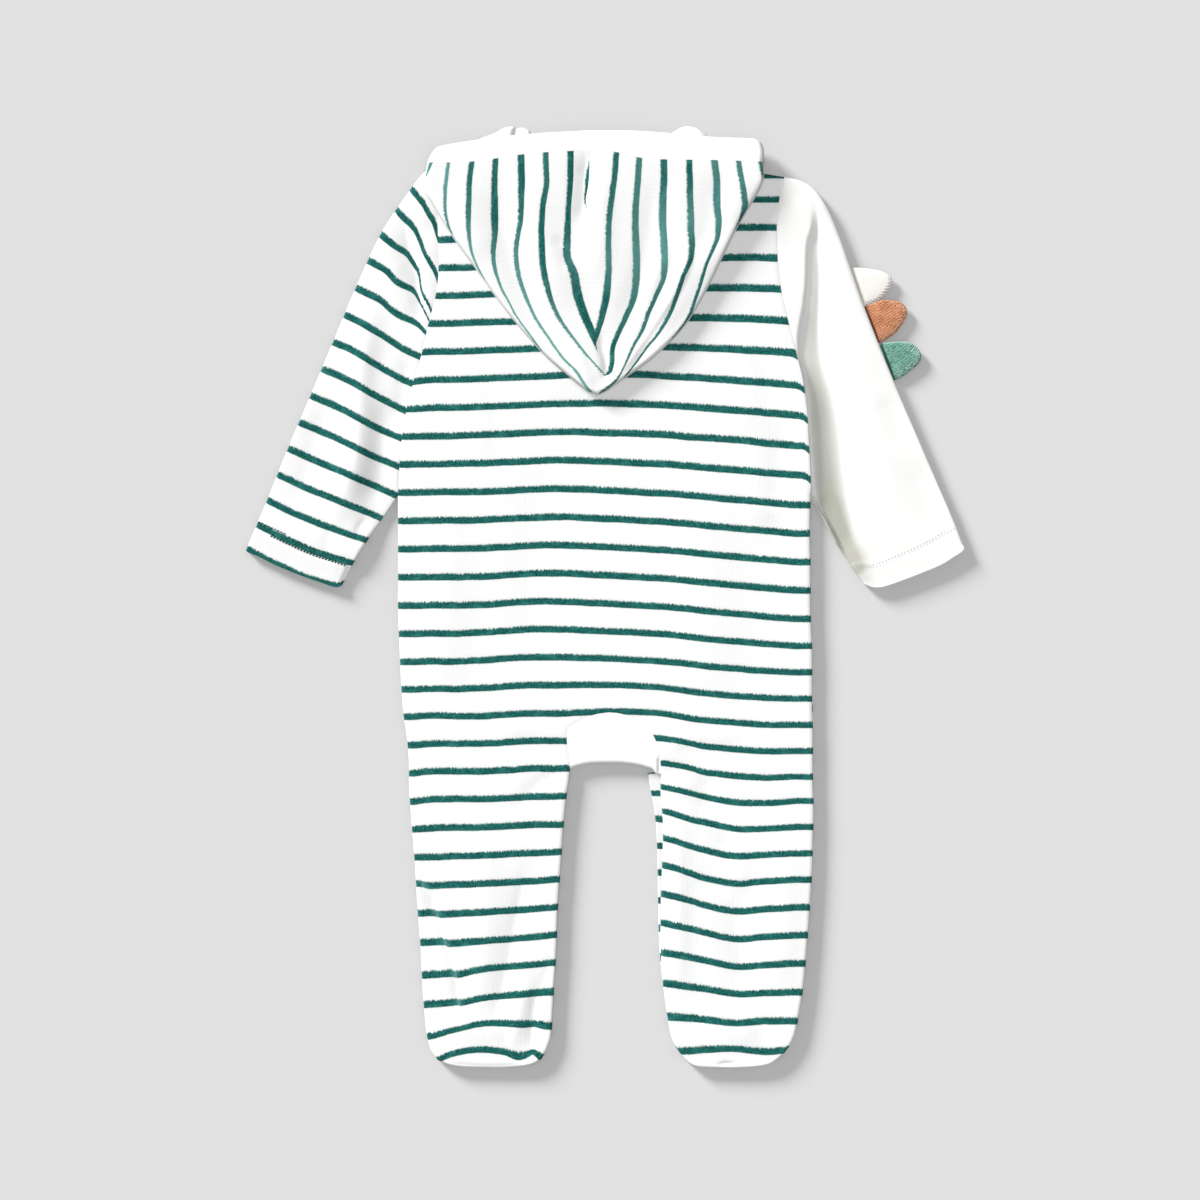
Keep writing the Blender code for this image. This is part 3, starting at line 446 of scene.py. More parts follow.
def makeRib(name, look, knit):
    # ribs run along the first coordinate of the cloth's map, which is in millimetres, and the second map
    # gives the way in from the rim and the way along it; the first of these is far over the cloth's width in
    # a narrow line at the foot, where it marks the painted shadow
    finish = Finish(name)
    cloth, across = finish.clothMap("cloth")[::2]
    fromRim, alongRim = finish.clothMap("look")[1:]
    waver = finish.noise(cloth, *knit["waver"]) - 0.5
    ribs = ((across + waver * knit["ribWaver"]) * (2.0 * math.pi / look["rib"])).math("SINE")
    fuzz = finish.noise(cloth, *knit["fuzz"])
    breaks = finish.noise(cloth, *knit["breaks"]).ease(*knit["unbroken"]) * look["ribbed"]
    patches = finish.noise(cloth, *knit["patches"])
    shade = (ribs * breaks * knit["ribShare"] + fuzz * knit["fuzzShare"]
             + patches * knit["patchShare"])
    colour = finish.mixed(shade.ease(*knit["ridgeFrom"]), srgb(*look["groove"]), srgb(*look["ridge"]))
    # the stitches over the rim
    turns = alongRim - fromRim * look["slant"] + waver * knit["loopWaver"]
    loops = (turns * (2.0 * math.pi / look["loop"])).math("SINE")
    run = alongRim.ease(look["from"], look["from"] + knit["runLength"])
    zone = 1.0 - fromRim.ease(look["rim"], look["rim"] + knit["rimSoft"])
    zone = zone * fromRim.ease(look["edge"], look["edge"] + knit["edgeSoft"]) * run
    gaps = zone * (1.0 - loops.ease(*knit["loopFrom"])) * look["gapMost"]
    colour = finish.mixed(gaps, colour, srgb(*look["gap"]))
    strokes = finish.noise(cloth, *knit["strokes"]).ease(*knit["strokeFrom"])
    colour = finish.mixed(zone * strokes * look["knit"], colour, srgb(*look["stroke"]))
    # a painted highlight along the upper rim, and a painted shadow line at the foot
    rimHighlight = (1.0 - fromRim.ease(*knit["rimHighlightFrom"])) * (1.0 - run)
    colour = finish.mixed(rimHighlight * look["top"], colour, srgb(*look["stroke"]))
    foot = fromRim.ease(*knit["footShadeFrom"]) * knit["footShadeMost"]
    colour = finish.mixed(foot, colour, srgb(*look["foot"]))
    relief = shade * knit["shadeRelief"] + zone * loops * knit["loopRelief"]
    return finish.finish({**knit["surface"], "Base Color": colour,
                          "Normal": finish.bumped(relief, *knit["bump"])})


threadLook = {"ply": ((2600.0, 2600.0, 2600.0), 2.0), "lightFrom": (0.35, 0.65), "dark": 0.7,
              "roughness": 0.6, "bump": (0.4, 0.0002)}


def makeThread(name, colour, look=threadLook):
    finish = Finish(name)
    place = finish.node("ShaderNodeTexCoord").other("Object")
    ply = finish.noise(place, *look["ply"])
    dark = [part * look["dark"] for part in srgb(*colour)]
    tone = finish.mixed(ply.ease(*look["lightFrom"]), dark, srgb(*colour))
    return finish.finish({"Base Color": tone, "Roughness": look["roughness"],
                          "Normal": finish.bumped(ply, *look["bump"])})


stripedVelour = makeVelour("stripedVelour", velourLook)
whiteJersey = makeJersey("whiteJersey", jerseyLook)
ribs = {name: makeRib(name, look, ribKnit) for name, look in ribLooks.items()}
darkThread = makeThread("darkThread", (10, 62, 54))
whiteThread = makeThread("whiteThread", (246, 246, 242))
print("materials made")


def clothGrid(columns, rows):
    # a grid, and each point's share across it and down it
    form = bmesh.new()
    bmesh.ops.create_grid(form, x_segments=columns, y_segments=rows, size=0.5)
    form.verts.index_update()
    flat = np.array([vert.co[:2] for vert in form.verts])
    return form, flat[:, 0] + 0.5, 0.5 - flat[:, 1]


def layCloth(form, points, cloth, look=None):
    # moves a grid's points into place and gives the cloth its two maps
    for vert, point in zip(form.verts, points):
        vert.co = Vector(point) * mm
    layer = form.loops.layers.uv.new("cloth")
    second = form.loops.layers.uv.new("look")
    for face in form.faces:
        for corner in face.loops:
            corner[layer].uv = cloth[corner.vert.index]
            corner[second].uv = (plainHalf, 0.0) if look is None else look[corner.vert.index]
    return form


def joinForms(forms):
    whole = bmesh.new()
    for form in forms:
        part = bpy.data.meshes.new("part")
        form.to_mesh(part)
        form.free()
        whole.from_mesh(part)
        bpy.data.meshes.remove(part)
    bmesh.ops.remove_doubles(whole, verts=whole.verts[:], dist=mergeGap * mm)
    bmesh.ops.dissolve_degenerate(whole, edges=whole.edges[:], dist=leastEdge * mm)
    return whole


def turnFaces(form, facing):
    bmesh.ops.recalc_face_normals(form, faces=form.faces[:])
    if facing == "out":
        wrong = form.calc_volume(signed=True) < 0
    else:
        up = sum(face.normal.z * face.calc_area() for face in form.faces)
        wrong = (up < 0) == (facing == "up")
    if wrong:
        bmesh.ops.reverse_faces(form, faces=form.faces[:])


def finishPiece(name, form, material, facing="out", wall=0.0, nodes=()):
    turnFaces(form, facing)
    for face in form.faces:
        face.smooth = True
    for edge in form.edges:
        edge.smooth = not edge.is_boundary  # a cut edge stays crisp
    mesh = bpy.data.meshes.new(name)
    form.to_mesh(mesh)
    form.free()
    mesh.materials.append(material)
    piece = bpy.data.objects.new(name, mesh)
    bpy.context.scene.collection.objects.link(piece)
    if wall:
        solid = piece.modifiers.new("wall", "SOLIDIFY")
        solid.thickness = wall * mm
        solid.offset = -1.0
    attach(piece, "root")
    if nodes:
        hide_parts(*nodes)
    return piece


mostRolled = 0.4  # a fold's part of a narrow row


def foldShares(share, width, roll, innerRoll, part=0.11):
    # shares across a row, closer together round its folded edges, each of which takes one
    # part of the columns; the inner edge is folded only as far as innerRoll says
    bend = np.minimum(roll, mostRolled * width) / width
    start = bend * (1.0 - np.cos(np.clip(share / part, 0.0, 1.0) * math.pi / 2))
    far = bend * (1.0 - np.cos(np.clip((1.0 - share) / part, 0.0, 1.0) * math.pi / 2))
    single = np.where(share < part, start, bend + (1.0 - bend) * (share - part) / (1.0 - part))
    middle = bend + (1.0 - 2.0 * bend) * (share - part) / (1.0 - 2.0 * part)
    double = np.where(share < part, start, np.where(share > 1.0 - part, 1.0 - far, middle))
    return single * (1.0 - innerRoll) + double * innerRoll


def panelPoints(side, inner, start, end, across, down, shares):
    # points of a four-sided panel: side and inner hold the two ends of each fine row, and
    # start and end the curves that its first and last rows follow
    rows = np.rint(down * (len(side) - 1)).astype(int)
    lengths = np.linalg.norm(np.diff(side, axis=0), axis=1) + np.linalg.norm(np.diff(inner, axis=0), axis=1)
    reach = np.append(0.0, np.cumsum(lengths))
    fall = (reach / reach[-1])[rows][:, None]
    width = np.linalg.norm(inner - side, axis=1)[rows]
    part = shares(across, width, rows)
    blend = part[:, None]
    straight = side[rows] * (1.0 - blend) + inner[rows] * blend
    bowStart = alongLine(start, part) - (side[0] * (1.0 - blend) + inner[0] * blend)
    bowEnd = alongLine(end, part) - (side[-1] * (1.0 - blend) + inner[-1] * blend)
    return straight + bowStart * (1.0 - fall) + bowEnd * fall ** endBow


# the body is one back panel, two front panels and a placket
body = {
    "top": 5.6, "rim": 2.1, "roll": 0.75, "columns": 56,
    # rows of the two tables: the underarm, the crotch, and the gusset's end on each leg
    "underarm": 11, "notch": 17, "cornerLeft": 22, "cornerRight": 23,
    "cornerRun": 16,  # fine rows over which a leg's inner edge begins to roll
    "neckRolled": 3,  # points of the neck, from each shoulder, whose edge rolls
    # side x, side y, inner x, inner y of each row, from shoulder to foot
    "left": [
        (-108, 272.5, 1.5, 266.5), (-107.5, 254.5, 1.5, 250), (-107.5, 234, 1.5, 231),
        (-107, 210, 1.5, 208), (-109, 192.5, 1.5, 191), (-113.5, 175, 1.5, 174),
        (-117.5, 157, 1.5, 156), (-123, 138.5, 1.5, 138), (-127.5, 120, 1.5, 120),
        (-130.5, 102, 1.5, 102), (-132, 84, 1.5, 84), (-133, 65.5, 1.5, 65.5),
        (-133, 43, 1.5, 43), (-133, 17.5, 1.5, 17.5), (-133, -8, 1.5, -8),
        (-132, -33.5, 1.5, -32), (-131, -56, 1.5, -54), (-129.5, -75, 1.5, -73.5),
        (-128, -85, -7.5, -75), (-127, -93, -16.5, -78.5), (-126.5, -99, -23.5, -83),
        (-126, -107, -25, -91), (-126, -120, -23, -110), (-125, -136, -25, -126.5),
        (-123.5, -155, -27, -146), (-122, -174.5, -28.5, -168), (-120.5, -200, -30.5, -196),
        (-118.5, -225.5, -31.5, -224), (-117.5, -248, -33, -248), (-116, -267, -34, -267),
        (-114.5, -280.5, -35, -280.5), (-112, -289.5, -38, -289.5), (-107.5, -296, -41.5, -295.5)],
    "right": [
        (114, 269, 1.5, 266.5), (110.5, 253, 1.5, 250), (109, 234, 1.5, 231),
        (110, 211.5, 1.5, 208), (112.5, 193.5, 1.5, 191), (117, 174.5, 1.5, 174),
        (121.5, 156.5, 1.5, 156), (126, 138, 1.5, 138), (128.5, 119, 1.5, 120),
        (129.5, 101, 1.5, 102), (130.5, 83, 1.5, 84), (131, 65.5, 1.5, 65.5),
        (130.5, 43, 1.5, 43), (131, 17.5, 1.5, 17.5), (131, -8, 1.5, -8),
        (132, -33.5, 1.5, -32), (132, -56, 1.5, -54), (132, -75, 1.5, -73.5),
        (132.5, -84, 10, -74.5), (132.5, -91, 21, -79), (132.5, -97, 28, -85.5),
        (132.5, -103, 31.5, -91), (132.5, -111, 34.5, -101.5), (132.5, -120, 35, -112.5),
        (133, -136, 35, -126.5), (132.5, -155, 36.5, -146), (132, -174.5, 36, -168),
        (130.5, -200, 35, -196), (128.5, -225.5, 35, -224), (126.5, -248, 36.5, -248),
        (123.5, -267, 39, -266), (120.5, -280.5, 41.5, -280.5), (115.5, -289.5, 46, -289.5),
        (110, -295, 51, -296)],
    "neckLeft": [(-108, 272.5), (-80.5, 275), (-48.5, 277), (-32.5, 271.5), (1.5, 266.5)],
    "neckRight": [(114, 269), (86, 273.5), (54, 276), (34.5, 271), (1.5, 266.5)],
    "footLeft": [(-107.5, -296), (-96, -300), (-74, -301), (-58, -300.5), (-48.5, -299), (-41.5, -295.5)],
    "footRight": [(110, -295), (103.5, -299), (89, -301), (68, -301), (57, -300), (51, -296)],
    "creases": [
        {"route": [(-39, -152), (-54, -194), (-65, -232), (-73, -284)], "width": 8, "height": -0.6},
        {"route": [(-41, -230), (-45.5, -248), (-49, -267), (-52, -300)], "width": 7, "height": -0.5,
         "fade": 0.25},
        {"route": [(-47.5, -298), (-47.3, -286.3), (-46.7, -275.7), (-45.4, -258), (-43, -244)],
         "width": 2.8, "height": -0.8, "fade": 0.35},
        {"route": [(-33.3, -226.2), (-39, -243.5), (-42.6, -260.8)], "width": 2.6, "height": -0.35},
        {"route": [(-51.8, -168), (-57.6, -208.3), (-63.4, -237.8), (-69.1, -260.8), (-73.6, -281.3)],
         "width": 3.0, "height": -0.4},
        {"route": [(-45, -236), (-54, -262), (-60, -294)], "width": 5, "height": 0.7, "fade": 0.4},
        {"route": [(-116.5, -185), (-108, -203), (-102, -222), (-96.5, -242), (-93.5, -262)],
         "width": 3.2, "height": -0.9, "fade": 0.2},
        {"route": [(-110, -196), (-101, -224), (-92, -258)], "width": 5, "height": 0.8},
        {"route": [(-80, -140), (-78, -200), (-76, -270)], "width": 12, "height": 0.7},
        {"route": [(57, -113), (67, -132), (77, -153), (80, -176)], "width": 7, "height": -1.2,
         "lean": 0.2},
        {"route": [(80, -176), (86, -214), (89, -262)], "width": 10, "height": -0.8},
        {"route": [(57, -176), (70, -184), (80, -190)], "width": 5, "height": -0.5},
        {"route": [(46, -128), (46, -200), (47, -262)], "width": 7, "height": 0.8},
        {"route": [(62, -128), (78, -160), (92, -196)], "width": 6, "height": 0.5},
        {"route": [(116, -150), (114, -210), (110, -262)], "width": 10, "height": 0.6},
        {"route": [(-100, 60), (-103, -5), (-104, -70)], "width": 14, "height": 0.7},
        {"route": [(-38, 96), (-43, 20), (-44, -60)], "width": 18, "height": -0.6},
        {"route": [(58, 96), (64, 10), (66, -80)], "width": 20, "height": 0.8},
        {"route": [(112, 120), (111, 70), (108, 20)], "width": 9, "height": -0.7},
        {"route": [(119, 168), (124.5, 138), (127, 119), (128, 101), (129, 83), (130, 56)],
         "width": 6, "height": 1.1},
        {"route": [(-22, -92), (-46, -84), (-74, -86)], "width": 6, "height": 0.5},
        {"route": [(33, -98), (58, -88), (86, -92)], "width": 6, "height": 0.5},
        {"route": [(34, -108), (52, -112), (74, -126)], "width": 4.5, "height": -0.6},
        {"route": [(-24, -112), (-44, -120), (-60, -140)], "width": 5, "height": -0.5},
        {"route": [(71, -298.8), (77, -297.6), (83, -298.6)], "width": 1.1, "height": -0.7, "fade": 0.3},
        {"route": [(-100, -298), (-78, -299.5), (-54, -299)], "width": 1.0, "height": -0.4, "fade": 0.2},
        {"route": [(-96, -268), (-80, -278), (-62, -276)], "width": 8, "height": 0.6},
        {"route": [(62, -262), (80, -278), (100, -276)], "width": 9, "height": 0.7},
        {"route": [(-128, 60), (-112, 52), (-84, 54)], "width": 7, "height": 0.4},
        {"route": [(126, 62), (108, 54), (84, 58)], "width": 7, "height": 0.4},
        {"route": [(-40, 128), (0, 118), (40, 126)], "width": 10, "height": -0.4},
        {"route": [(-100, 160), (-84, 120), (-80, 84)], "width": 10, "height": 0.4},
        {"route": [(84, 170), (90, 136), (86, 100)], "width": 9, "height": 0.4},
    ],
    # stripe 0 lies at this height, and the table says how far below an even pitch some of
    # them lie, by number, at places across the body
    "stripeTop": 210.9, "settleRounds": 4,
    "driftX": [-124, -111, -96, -77, -48.6, -29, -0.6, 28, 41, 53.8, 63.4, 82.6, 101.8, 121],
    "drift": {
        -3: [0, 0, 0, 0, 0, 0, 0, 0, -1, -2, -3, -4.5, -4.7, -4.7],
        -2: [0, 0, 0, 0, 0, 0, 0, -2, -3, -4, -5, -7, -7.5, -7.5],
        -1: [0, 0.3, 0.1, -0.4, -1, -2, -3, -4, -4.5, -5, -6, -7.5, -7.6, -7.5],
        0: [0, 0.3, 0.1, -0.4, -1, -2, -3, -4, -4.5, -5, -6, -6.5, -6.4, -6],
        2: [-0.5, -0.3, -0.4, -1.2, -2, -3, -4, -4, -4, -4, -4, -3.6, -2.9, -1.6],
        4: [0.8, -0.5, -0.6, -1.2, -2.4, -3.1, -4.4, -3.6, -2.8, -2, -1.5, 0, 1.2, 3],
        6: [-0.4, -0.5, -0.8, -1.5, -2.6, -3.4, -2.7, -1.8, -1.2, -0.1, 0.6, 1.9, 3.8, 5.5],
        8: [-0.6, -0.8, -1, -1.2, -2.4, -3.1, -2, -0.5, 0.3, 1.3, 2.2, 4, 5.6, 7.4],
        12: [-0.5, -0.8, -0.6, -1.2, -3.1, -3.1, -1.8, -0.3, 0.5, 1.8, 3, 4.7, 6.5, 8],
        14: [-0.6, -0.9, -0.8, -1.9, -3.7, -3.6, -2.8, -1.4, -0.5, 0.9, 2.1, 3.7, 5.2, 6.2],
        16: [-1.6, -2.4, -2, -2.3, -3.9, -3.8, -5.1, -4.5, -2.8, -0.7, 0.5, 2.2, 3.4, 3.5],
        18: [-1.5, -3, -3.1, -3, -4.7, -4.7, -6, -8, -7.4, -5.1, -2.2, -0.1, 1.1, 0.7],
        19: [-1.7, -2.9, -3.3, -3.2, -4.7, -4.9, -7, -11, -10, -7, -4.5, -1.2, -0.7, -2],
        20: [-2, -2.6, -3.2, -3.3, -4.8, -5, -7, -14, -12.6, -8.3, -6.5, -2.3, -2.3, -3.4],
        22: [-2, -2.1, -2.7, -3.5, -4.8, -6.2, -7.4, -15, -14.1, -10.1, -6.8, -3.4, -5, -5.9],
        24: [0, -0.8, -1.6, -3, -5.1, -7, -7.7, -14.5, -13.3, -10.7, -8.2, -4, -5.3, -6.4],
        25: [3.2, 2.2, 1, -3, -5.5, -7.2, -7.7, -13.5, -12.8, -10.4, -8.3, -4.5, -5.4, -6.6],
        26: [3.6, 2.7, 1.5, -2.6, -5.4, -7, -7.7, -12, -11.5, -9.5, -8.6, -5.1, -5.6, -6.1],
        27: [5, 3.7, -0.2, -4.2, -3.6, -2, -5, -9, -8.6, -7.6, -6.7, -4.4, -6.1, -5.8],
        28: [4.5, 2.2, -3.7, -5.7, -1.6, 0, -5, -5, -4.9, -4.4, -5.6, -6.2, -4.2, -6],
    },
    # the stripes step down across the left leg's seam, and droop at the right armhole
    "sideSeam": [(-118, -180), (-108, -203), (-102, -222), (-96.5, -242), (-93.5, -262), (-91, -280)],
    "seamLow": (-278.0, -258.0), "seamHigh": (-170.0, -182.0),  # where it fades out
    "seamJog": 0.075, "seamSoft": 1.3, "seamPale": 0.55, "seamReach": 1.5,
    "droop": 0.15, "droopReach": 2.4, "droopFrom": (146.0, 158.0), "seamDip": (0.15, 0.7),
    # small rises of the stripes at one place: x, y, reach and share of the pitch
    "kinks": [(-46.7, -292, 3.8, 0.17), (-57, -294.5, 5.0, -0.10), (-46, -275, 4.0, 0.05)],
}


def seamShare(points):
    # how far left of the left leg's seam each point lies, and how strongly the seam shows
    seam = np.array(body["sideSeam"], float)[::-1]
    off = np.interp(points[:, 1], seam[:, 1], seam[:, 0]) - points[:, 0]
    shown = easeIn(points[:, 1], *body["seamLow"]) * easeIn(points[:, 1], *body["seamHigh"])
    return off, shown


def bodyStripes(points):
    # number of the stripe at each point of the body
    keys = np.array(sorted(body["drift"]), float)
    across = np.array([readKnots(points[:, 0], body["driftX"], body["drift"][key])
                       for key in keys.astype(int)])
    number = (body["stripeTop"] - points[:, 1]) / pitch
    for settle in range(body["settleRounds"]):
        row = np.clip(np.searchsorted(keys, number) - 1, 0, len(keys) - 2)
        part = np.clip((number - keys[row]) / (keys[row + 1] - keys[row]), 0.0, 1.0)
        picked = np.arange(len(points))
        drift = across[row, picked] * (1.0 - part) + across[row + 1, picked] * part
        number = (body["stripeTop"] - points[:, 1] - drift) / pitch
    off, shown = seamShare(points)
    number += body["seamJog"] * easeIn(off, -body["seamSoft"], body["seamSoft"]) * shown
    for x, y, reach, rise in body["kinks"]:
        number += rise * np.exp(-((points[:, 0] - x) ** 2 + (points[:, 1] - y) ** 2) / reach ** 2)
    armhole = np.array(body["right"], float)[:body["underarm"] + 1, :2]
    near = nearLine(points, armhole)[0]
    droop = body["droop"] * (1.0 - easeIn(points[:, 1], *body["droopFrom"]))
    return number - droop * np.exp(-(near / body["droopReach"]) ** 2)


def bodyHalf(side):
    # fine side and inner lines of one half, and its neck and foot
    rows = np.array(body[side], float)
    notch = body["notch"]
    outer = smoothLine(rows[:, :2])
    inner = np.vstack([smoothLine(rows[:notch + 1, 2:]), smoothLine(rows[notch:, 2:])[1:]])
    end = side.capitalize()
    return outer, inner, np.array(body["neck" + end], float), smoothLine(body["foot" + end])


def backHalf(side):
    outer, inner, neck, foot = bodyHalf(side)
    corner = body["corner" + side.capitalize()] * rowSteps
    underarm = body["underarm"] * rowSteps
    form, across, down = clothGrid(body["columns"], len(outer) - 1)

    def shares(share, width, rows):
        return foldShares(share, width, body["roll"],
                          easeIn(rows, corner - body["cornerRun"], corner))

    flat = panelPoints(outer, inner, neck, foot, across, down, shares)
    edge = np.vstack([outer[underarm:], foot[1:], inner[:corner - 1:-1]])
    near = np.minimum(nearLine(flat, edge)[0], nearLine(flat, neck[:body["neckRolled"]])[0])
    lift = body["top"] - body["rim"] + creaseHeight(flat, body["creases"])
    height = body["rim"] + lift * rollUp(near, body["roll"])
    height += seamDip(flat, outer[:underarm + 1], *body["seamDip"])
    height += seamDip(flat, inner[body["notch"] * rowSteps:corner + 1], *body["seamDip"])
    cloth = np.column_stack([flat[:, 0] / pitch, bodyStripes(flat)])
    off, shown = seamShare(flat)
    pale = body["seamPale"] * shown * np.exp(-(off / body["seamReach"]) ** 2)
    return layCloth(form, np.column_stack([flat, height]), cloth,
                    np.column_stack([np.full(len(flat), plainHalf), pale]))


back = finishPiece("back_panel", joinForms([backHalf("left"), backHalf("right")]), stripedVelour,
                   "up", velour, ["back"])
print("back made:", len(back.data.polygons), "faces")


# the fronts follow the back's tables down the sides and legs
fronts = {
    "neckY": 234.0, "crotchY": -73.5, "roll": 3.0, "edge": 1.9, "innerEdge": 0.3, "columns": 40,
    "cornerRun": 8,
    "left": {"centre": -7.5, "neck": [(-108, 272.5), (-48.5, 277), (-41, 256), (-27, 241), (-7.5, 234)]},
    "right": {"centre": 10.0, "neck": [(114, 269), (54, 276), (44, 256), (29, 241), (10, 234)]},
    # how far the right leg's inner seam is turned out past the back's, by height
    "shownY": [-248, -224, -196, -168, -146, -129.6, -116.8, -109.8],
    "shown": [0, 0.8, 1.6, 3, 4.5, 5.2, 7.5, 9.0],
    "stripesDown": [3.5, 3.5, 4.6, 5.4, 6.1, 5.3, 5.3, 6.5],  # its stripes lie so far lower
}


def frontHalf(side):
    rows = np.array(body[side], float)
    notch = body["notch"]
    share = (fronts["neckY"] - fronts["crotchY"]) / (rows[0, 3] - fronts["crotchY"])
    rows[:notch, 2] = fronts[side]["centre"]
    rows[:notch, 3] = fronts["crotchY"] + (rows[:notch, 3] - fronts["crotchY"]) * share
    # the back's crotch point is left out, because the front's centre edge runs straight past it
    before, after = notch - 1, notch + 1
    outer = smoothLine(rows[:, :2])
    outer = np.vstack([outer[:before * rowSteps], outer[after * rowSteps:]])
    inner = np.vstack([smoothLine(rows[:notch, 2:])[:-1], smoothLine(rows[after:, 2:])])
    corner = (body["corner" + side.capitalize()] - (after - before)) * rowSteps
    if side == "right":
        inner[:, 0] -= np.where(np.arange(len(inner)) >= corner,
                                np.interp(inner[:, 1], fronts["shownY"], fronts["shown"]), 0.0)
    foot = smoothLine(body["foot" + side.capitalize()])
    form, across, down = clothGrid(fronts["columns"], len(outer) - 1)

    def shares(share, width, rows):
        return foldShares(share, width, fronts["roll"],
                          easeIn(rows, corner - fronts["cornerRun"], corner))

    flat = panelPoints(outer, inner, np.array(fronts[side]["neck"], float), foot, across, down, shares)
    underarm = body["underarm"] * rowSteps
    near = nearLine(flat, np.vstack([outer[underarm:], foot[1:]]))[0]
    height = fronts["edge"] * (1.0 - rollUp(near, fronts["roll"]))
    near = nearLine(flat, inner[corner:])[0]
    height = np.maximum(height, fronts["innerEdge"] * (1.0 - rollUp(near, fronts["roll"])))
    count = bodyStripes(flat) - np.interp(flat[:, 1], fronts["shownY"], fronts["stripesDown"]) / pitch
    return layCloth(form, np.column_stack([flat, height]), np.column_stack([flat[:, 0] / pitch, count]))


for side in ("left", "right"):
    front = finishPiece("front_" + side + "_panel", frontHalf(side), stripedVelour,
                        "down", velour, ["front_" + side])
print("fronts made")


placket = {"left": -7.2, "right": 9.7, "low": -73.2, "high": 234.0, "columns": 12, "rows": 120,
           "seamIn": 1.6, "dip": 0.3, "dipWidth": 0.6, "stitch": 2.6, "thread": (1.7, 0.34, 0.3),
           "stitchLift": 0.2}
lookAhead = 0.01  # share of a row of stitches over which its direction is read


def stitchRow(line, spacing, size, lift=0.0, slant=0.0, height=None):
    # a row of short stitches along a line
    length = np.linalg.norm(np.diff(line, axis=0), axis=1).sum()
    shares = (np.arange(int(length / spacing)) + 0.5) * spacing / length
    points = alongLine(line, shares)
    ahead = alongLine(line, np.minimum(shares + lookAhead, 1.0)) - alongLine(line, shares - lookAhead)
    heights = height(points) if height else np.zeros(len(points))
    form = bmesh.new()
    for point, step, rise in zip(points, ahead, heights):  # each one is a ball, pulled to size
        turn = math.atan2(step[1], step[0]) + slant
        place = Matrix.Translation(Vector((*point, rise + lift)) * mm)
        shape = Matrix.Diagonal((*(Vector(size) * mm), 1.0))
        bmesh.ops.create_icosphere(form, subdivisions=1, radius=0.5,
                                   matrix=place @ Matrix.Rotation(turn, 4, "Z") @ shape)
    return form


def placketForm():
    form, across, down = clothGrid(placket["columns"], placket["rows"])
    x = placket["left"] + (placket["right"] - placket["left"]) * across
    y = placket["high"] + (placket["low"] - placket["high"]) * down
    edge = np.minimum(x - placket["left"], placket["right"] - x)
    height = placket["dip"] * np.exp(-((edge - placket["seamIn"]) / placket["dipWidth"]) ** 2)
    return layCloth(form, np.column_stack([x, y, height]), np.column_stack([x, y]) / pitch)


strip = finishPiece("front_placket_strip", placketForm(), whiteJersey, "down", velour,
                    ["front_placket"])
rows = [stitchRow(np.array([(x, placket["low"]), (x, placket["high"])]), placket["stitch"],
                  placket["thread"], lift=placket["stitchLift"])
        for x in (placket["left"] + placket["seamIn"], placket["right"] - placket["seamIn"])]
stitches = finishPiece("front_placket_stitches", joinForms(rows), whiteThread)


gusset = {
    "top": 5.6, "rim": 2.7, "roll": 1.8, "rows": 36,
    # the seam is the back's own line, a few fine rows shorter at both ends, and the gusset
    # lies a little way under it
    "shorter": 7, "under": 0.1, "seamDip": (0.1, 0.6),
    "fold": [(-23, -110), (-18.8, -108.3), (-10, -106.5), (1.5, -106.2), (11, -106.4), (20.9, -107.7),
             (25.3, -109), (29, -110), (32.6, -113.3), (35, -113.5)],
    "creases": [
        {"route": [(-12, -78), (-10, -92), (-13, -104)], "width": 5, "height": -0.15},
        {"route": [(14, -79), (13, -92), (17, -104)], "width": 6, "height": -0.15},
        {"route": [(33.6, -102), (33.9, -106), (33.7, -114)], "width": 1.0, "height": -0.8, "fade": 0.2},
    ],
}


def gussetForm():
    # one piece folded over: its first half lies on top, the second under it
    notch = body["notch"] * rowSteps
    left = bodyHalf("left")[1][notch:body["cornerLeft"] * rowSteps - gusset["shorter"]]
    right = bodyHalf("right")[1][notch:body["cornerRight"] * rowSteps - gusset["shorter"]]
    seam = np.vstack([left[::-1], right[1:]])
    run = np.gradient(seam, axis=0)
    run /= np.linalg.norm(run, axis=1)[:, None]
    seam = seam + gusset["under"] * np.column_stack([-run[:, 1], run[:, 0]])
    fold = alongLine(smoothLine(gusset["fold"]), np.linspace(0.0, 1.0, len(seam)))
    form, across, down = clothGrid(len(seam) - 1, gusset["rows"])
    column = np.rint(across * (len(seam) - 1)).astype(int)
    upper = down <= 0.5
    back = np.sin(np.minimum(down, 1.0 - down) * math.pi)[:, None]
    flat = seam[column] * (1.0 - back) + fold[column] * back
    near = nearLine(flat, fold)[0]
    lift = gusset["top"] - gusset["rim"] + creaseHeight(flat, gusset["creases"])
    over = gusset["rim"] + lift * rollUp(near, gusset["roll"]) + seamDip(flat, seam, *gusset["seamDip"])
    under = gusset["rim"] * (1.0 - rollUp(near, gusset["roll"]))
    height = np.where(upper, over, under)
    return layCloth(form, np.column_stack([flat, height]), flat / pitch)


crotch = finishPiece("crotch_gusset_cloth", gussetForm(), whiteJersey, "out", jersey,
                     ["crotch_gusset"])
print("placket and gusset made")


# both sleeves are flat tubes, of two layers joined at their folded edges
sleeveLie = {
    "top": 5.4, "rim": 2.7, "roll": 0.75, "columns": 64, "rows": 120, "hemRise": 0.3, "hemSoft": 0.6,
    # mostPaintedShade caps the painted shade in the right sleeve's hollow
    "seamDip": (0.15, 0.7), "least": -1.15, "leastSoft": 0.4, "mostPaintedShade": 0.9, "cuffReach": 25.0,
    "stitchLift": 0.12,
}

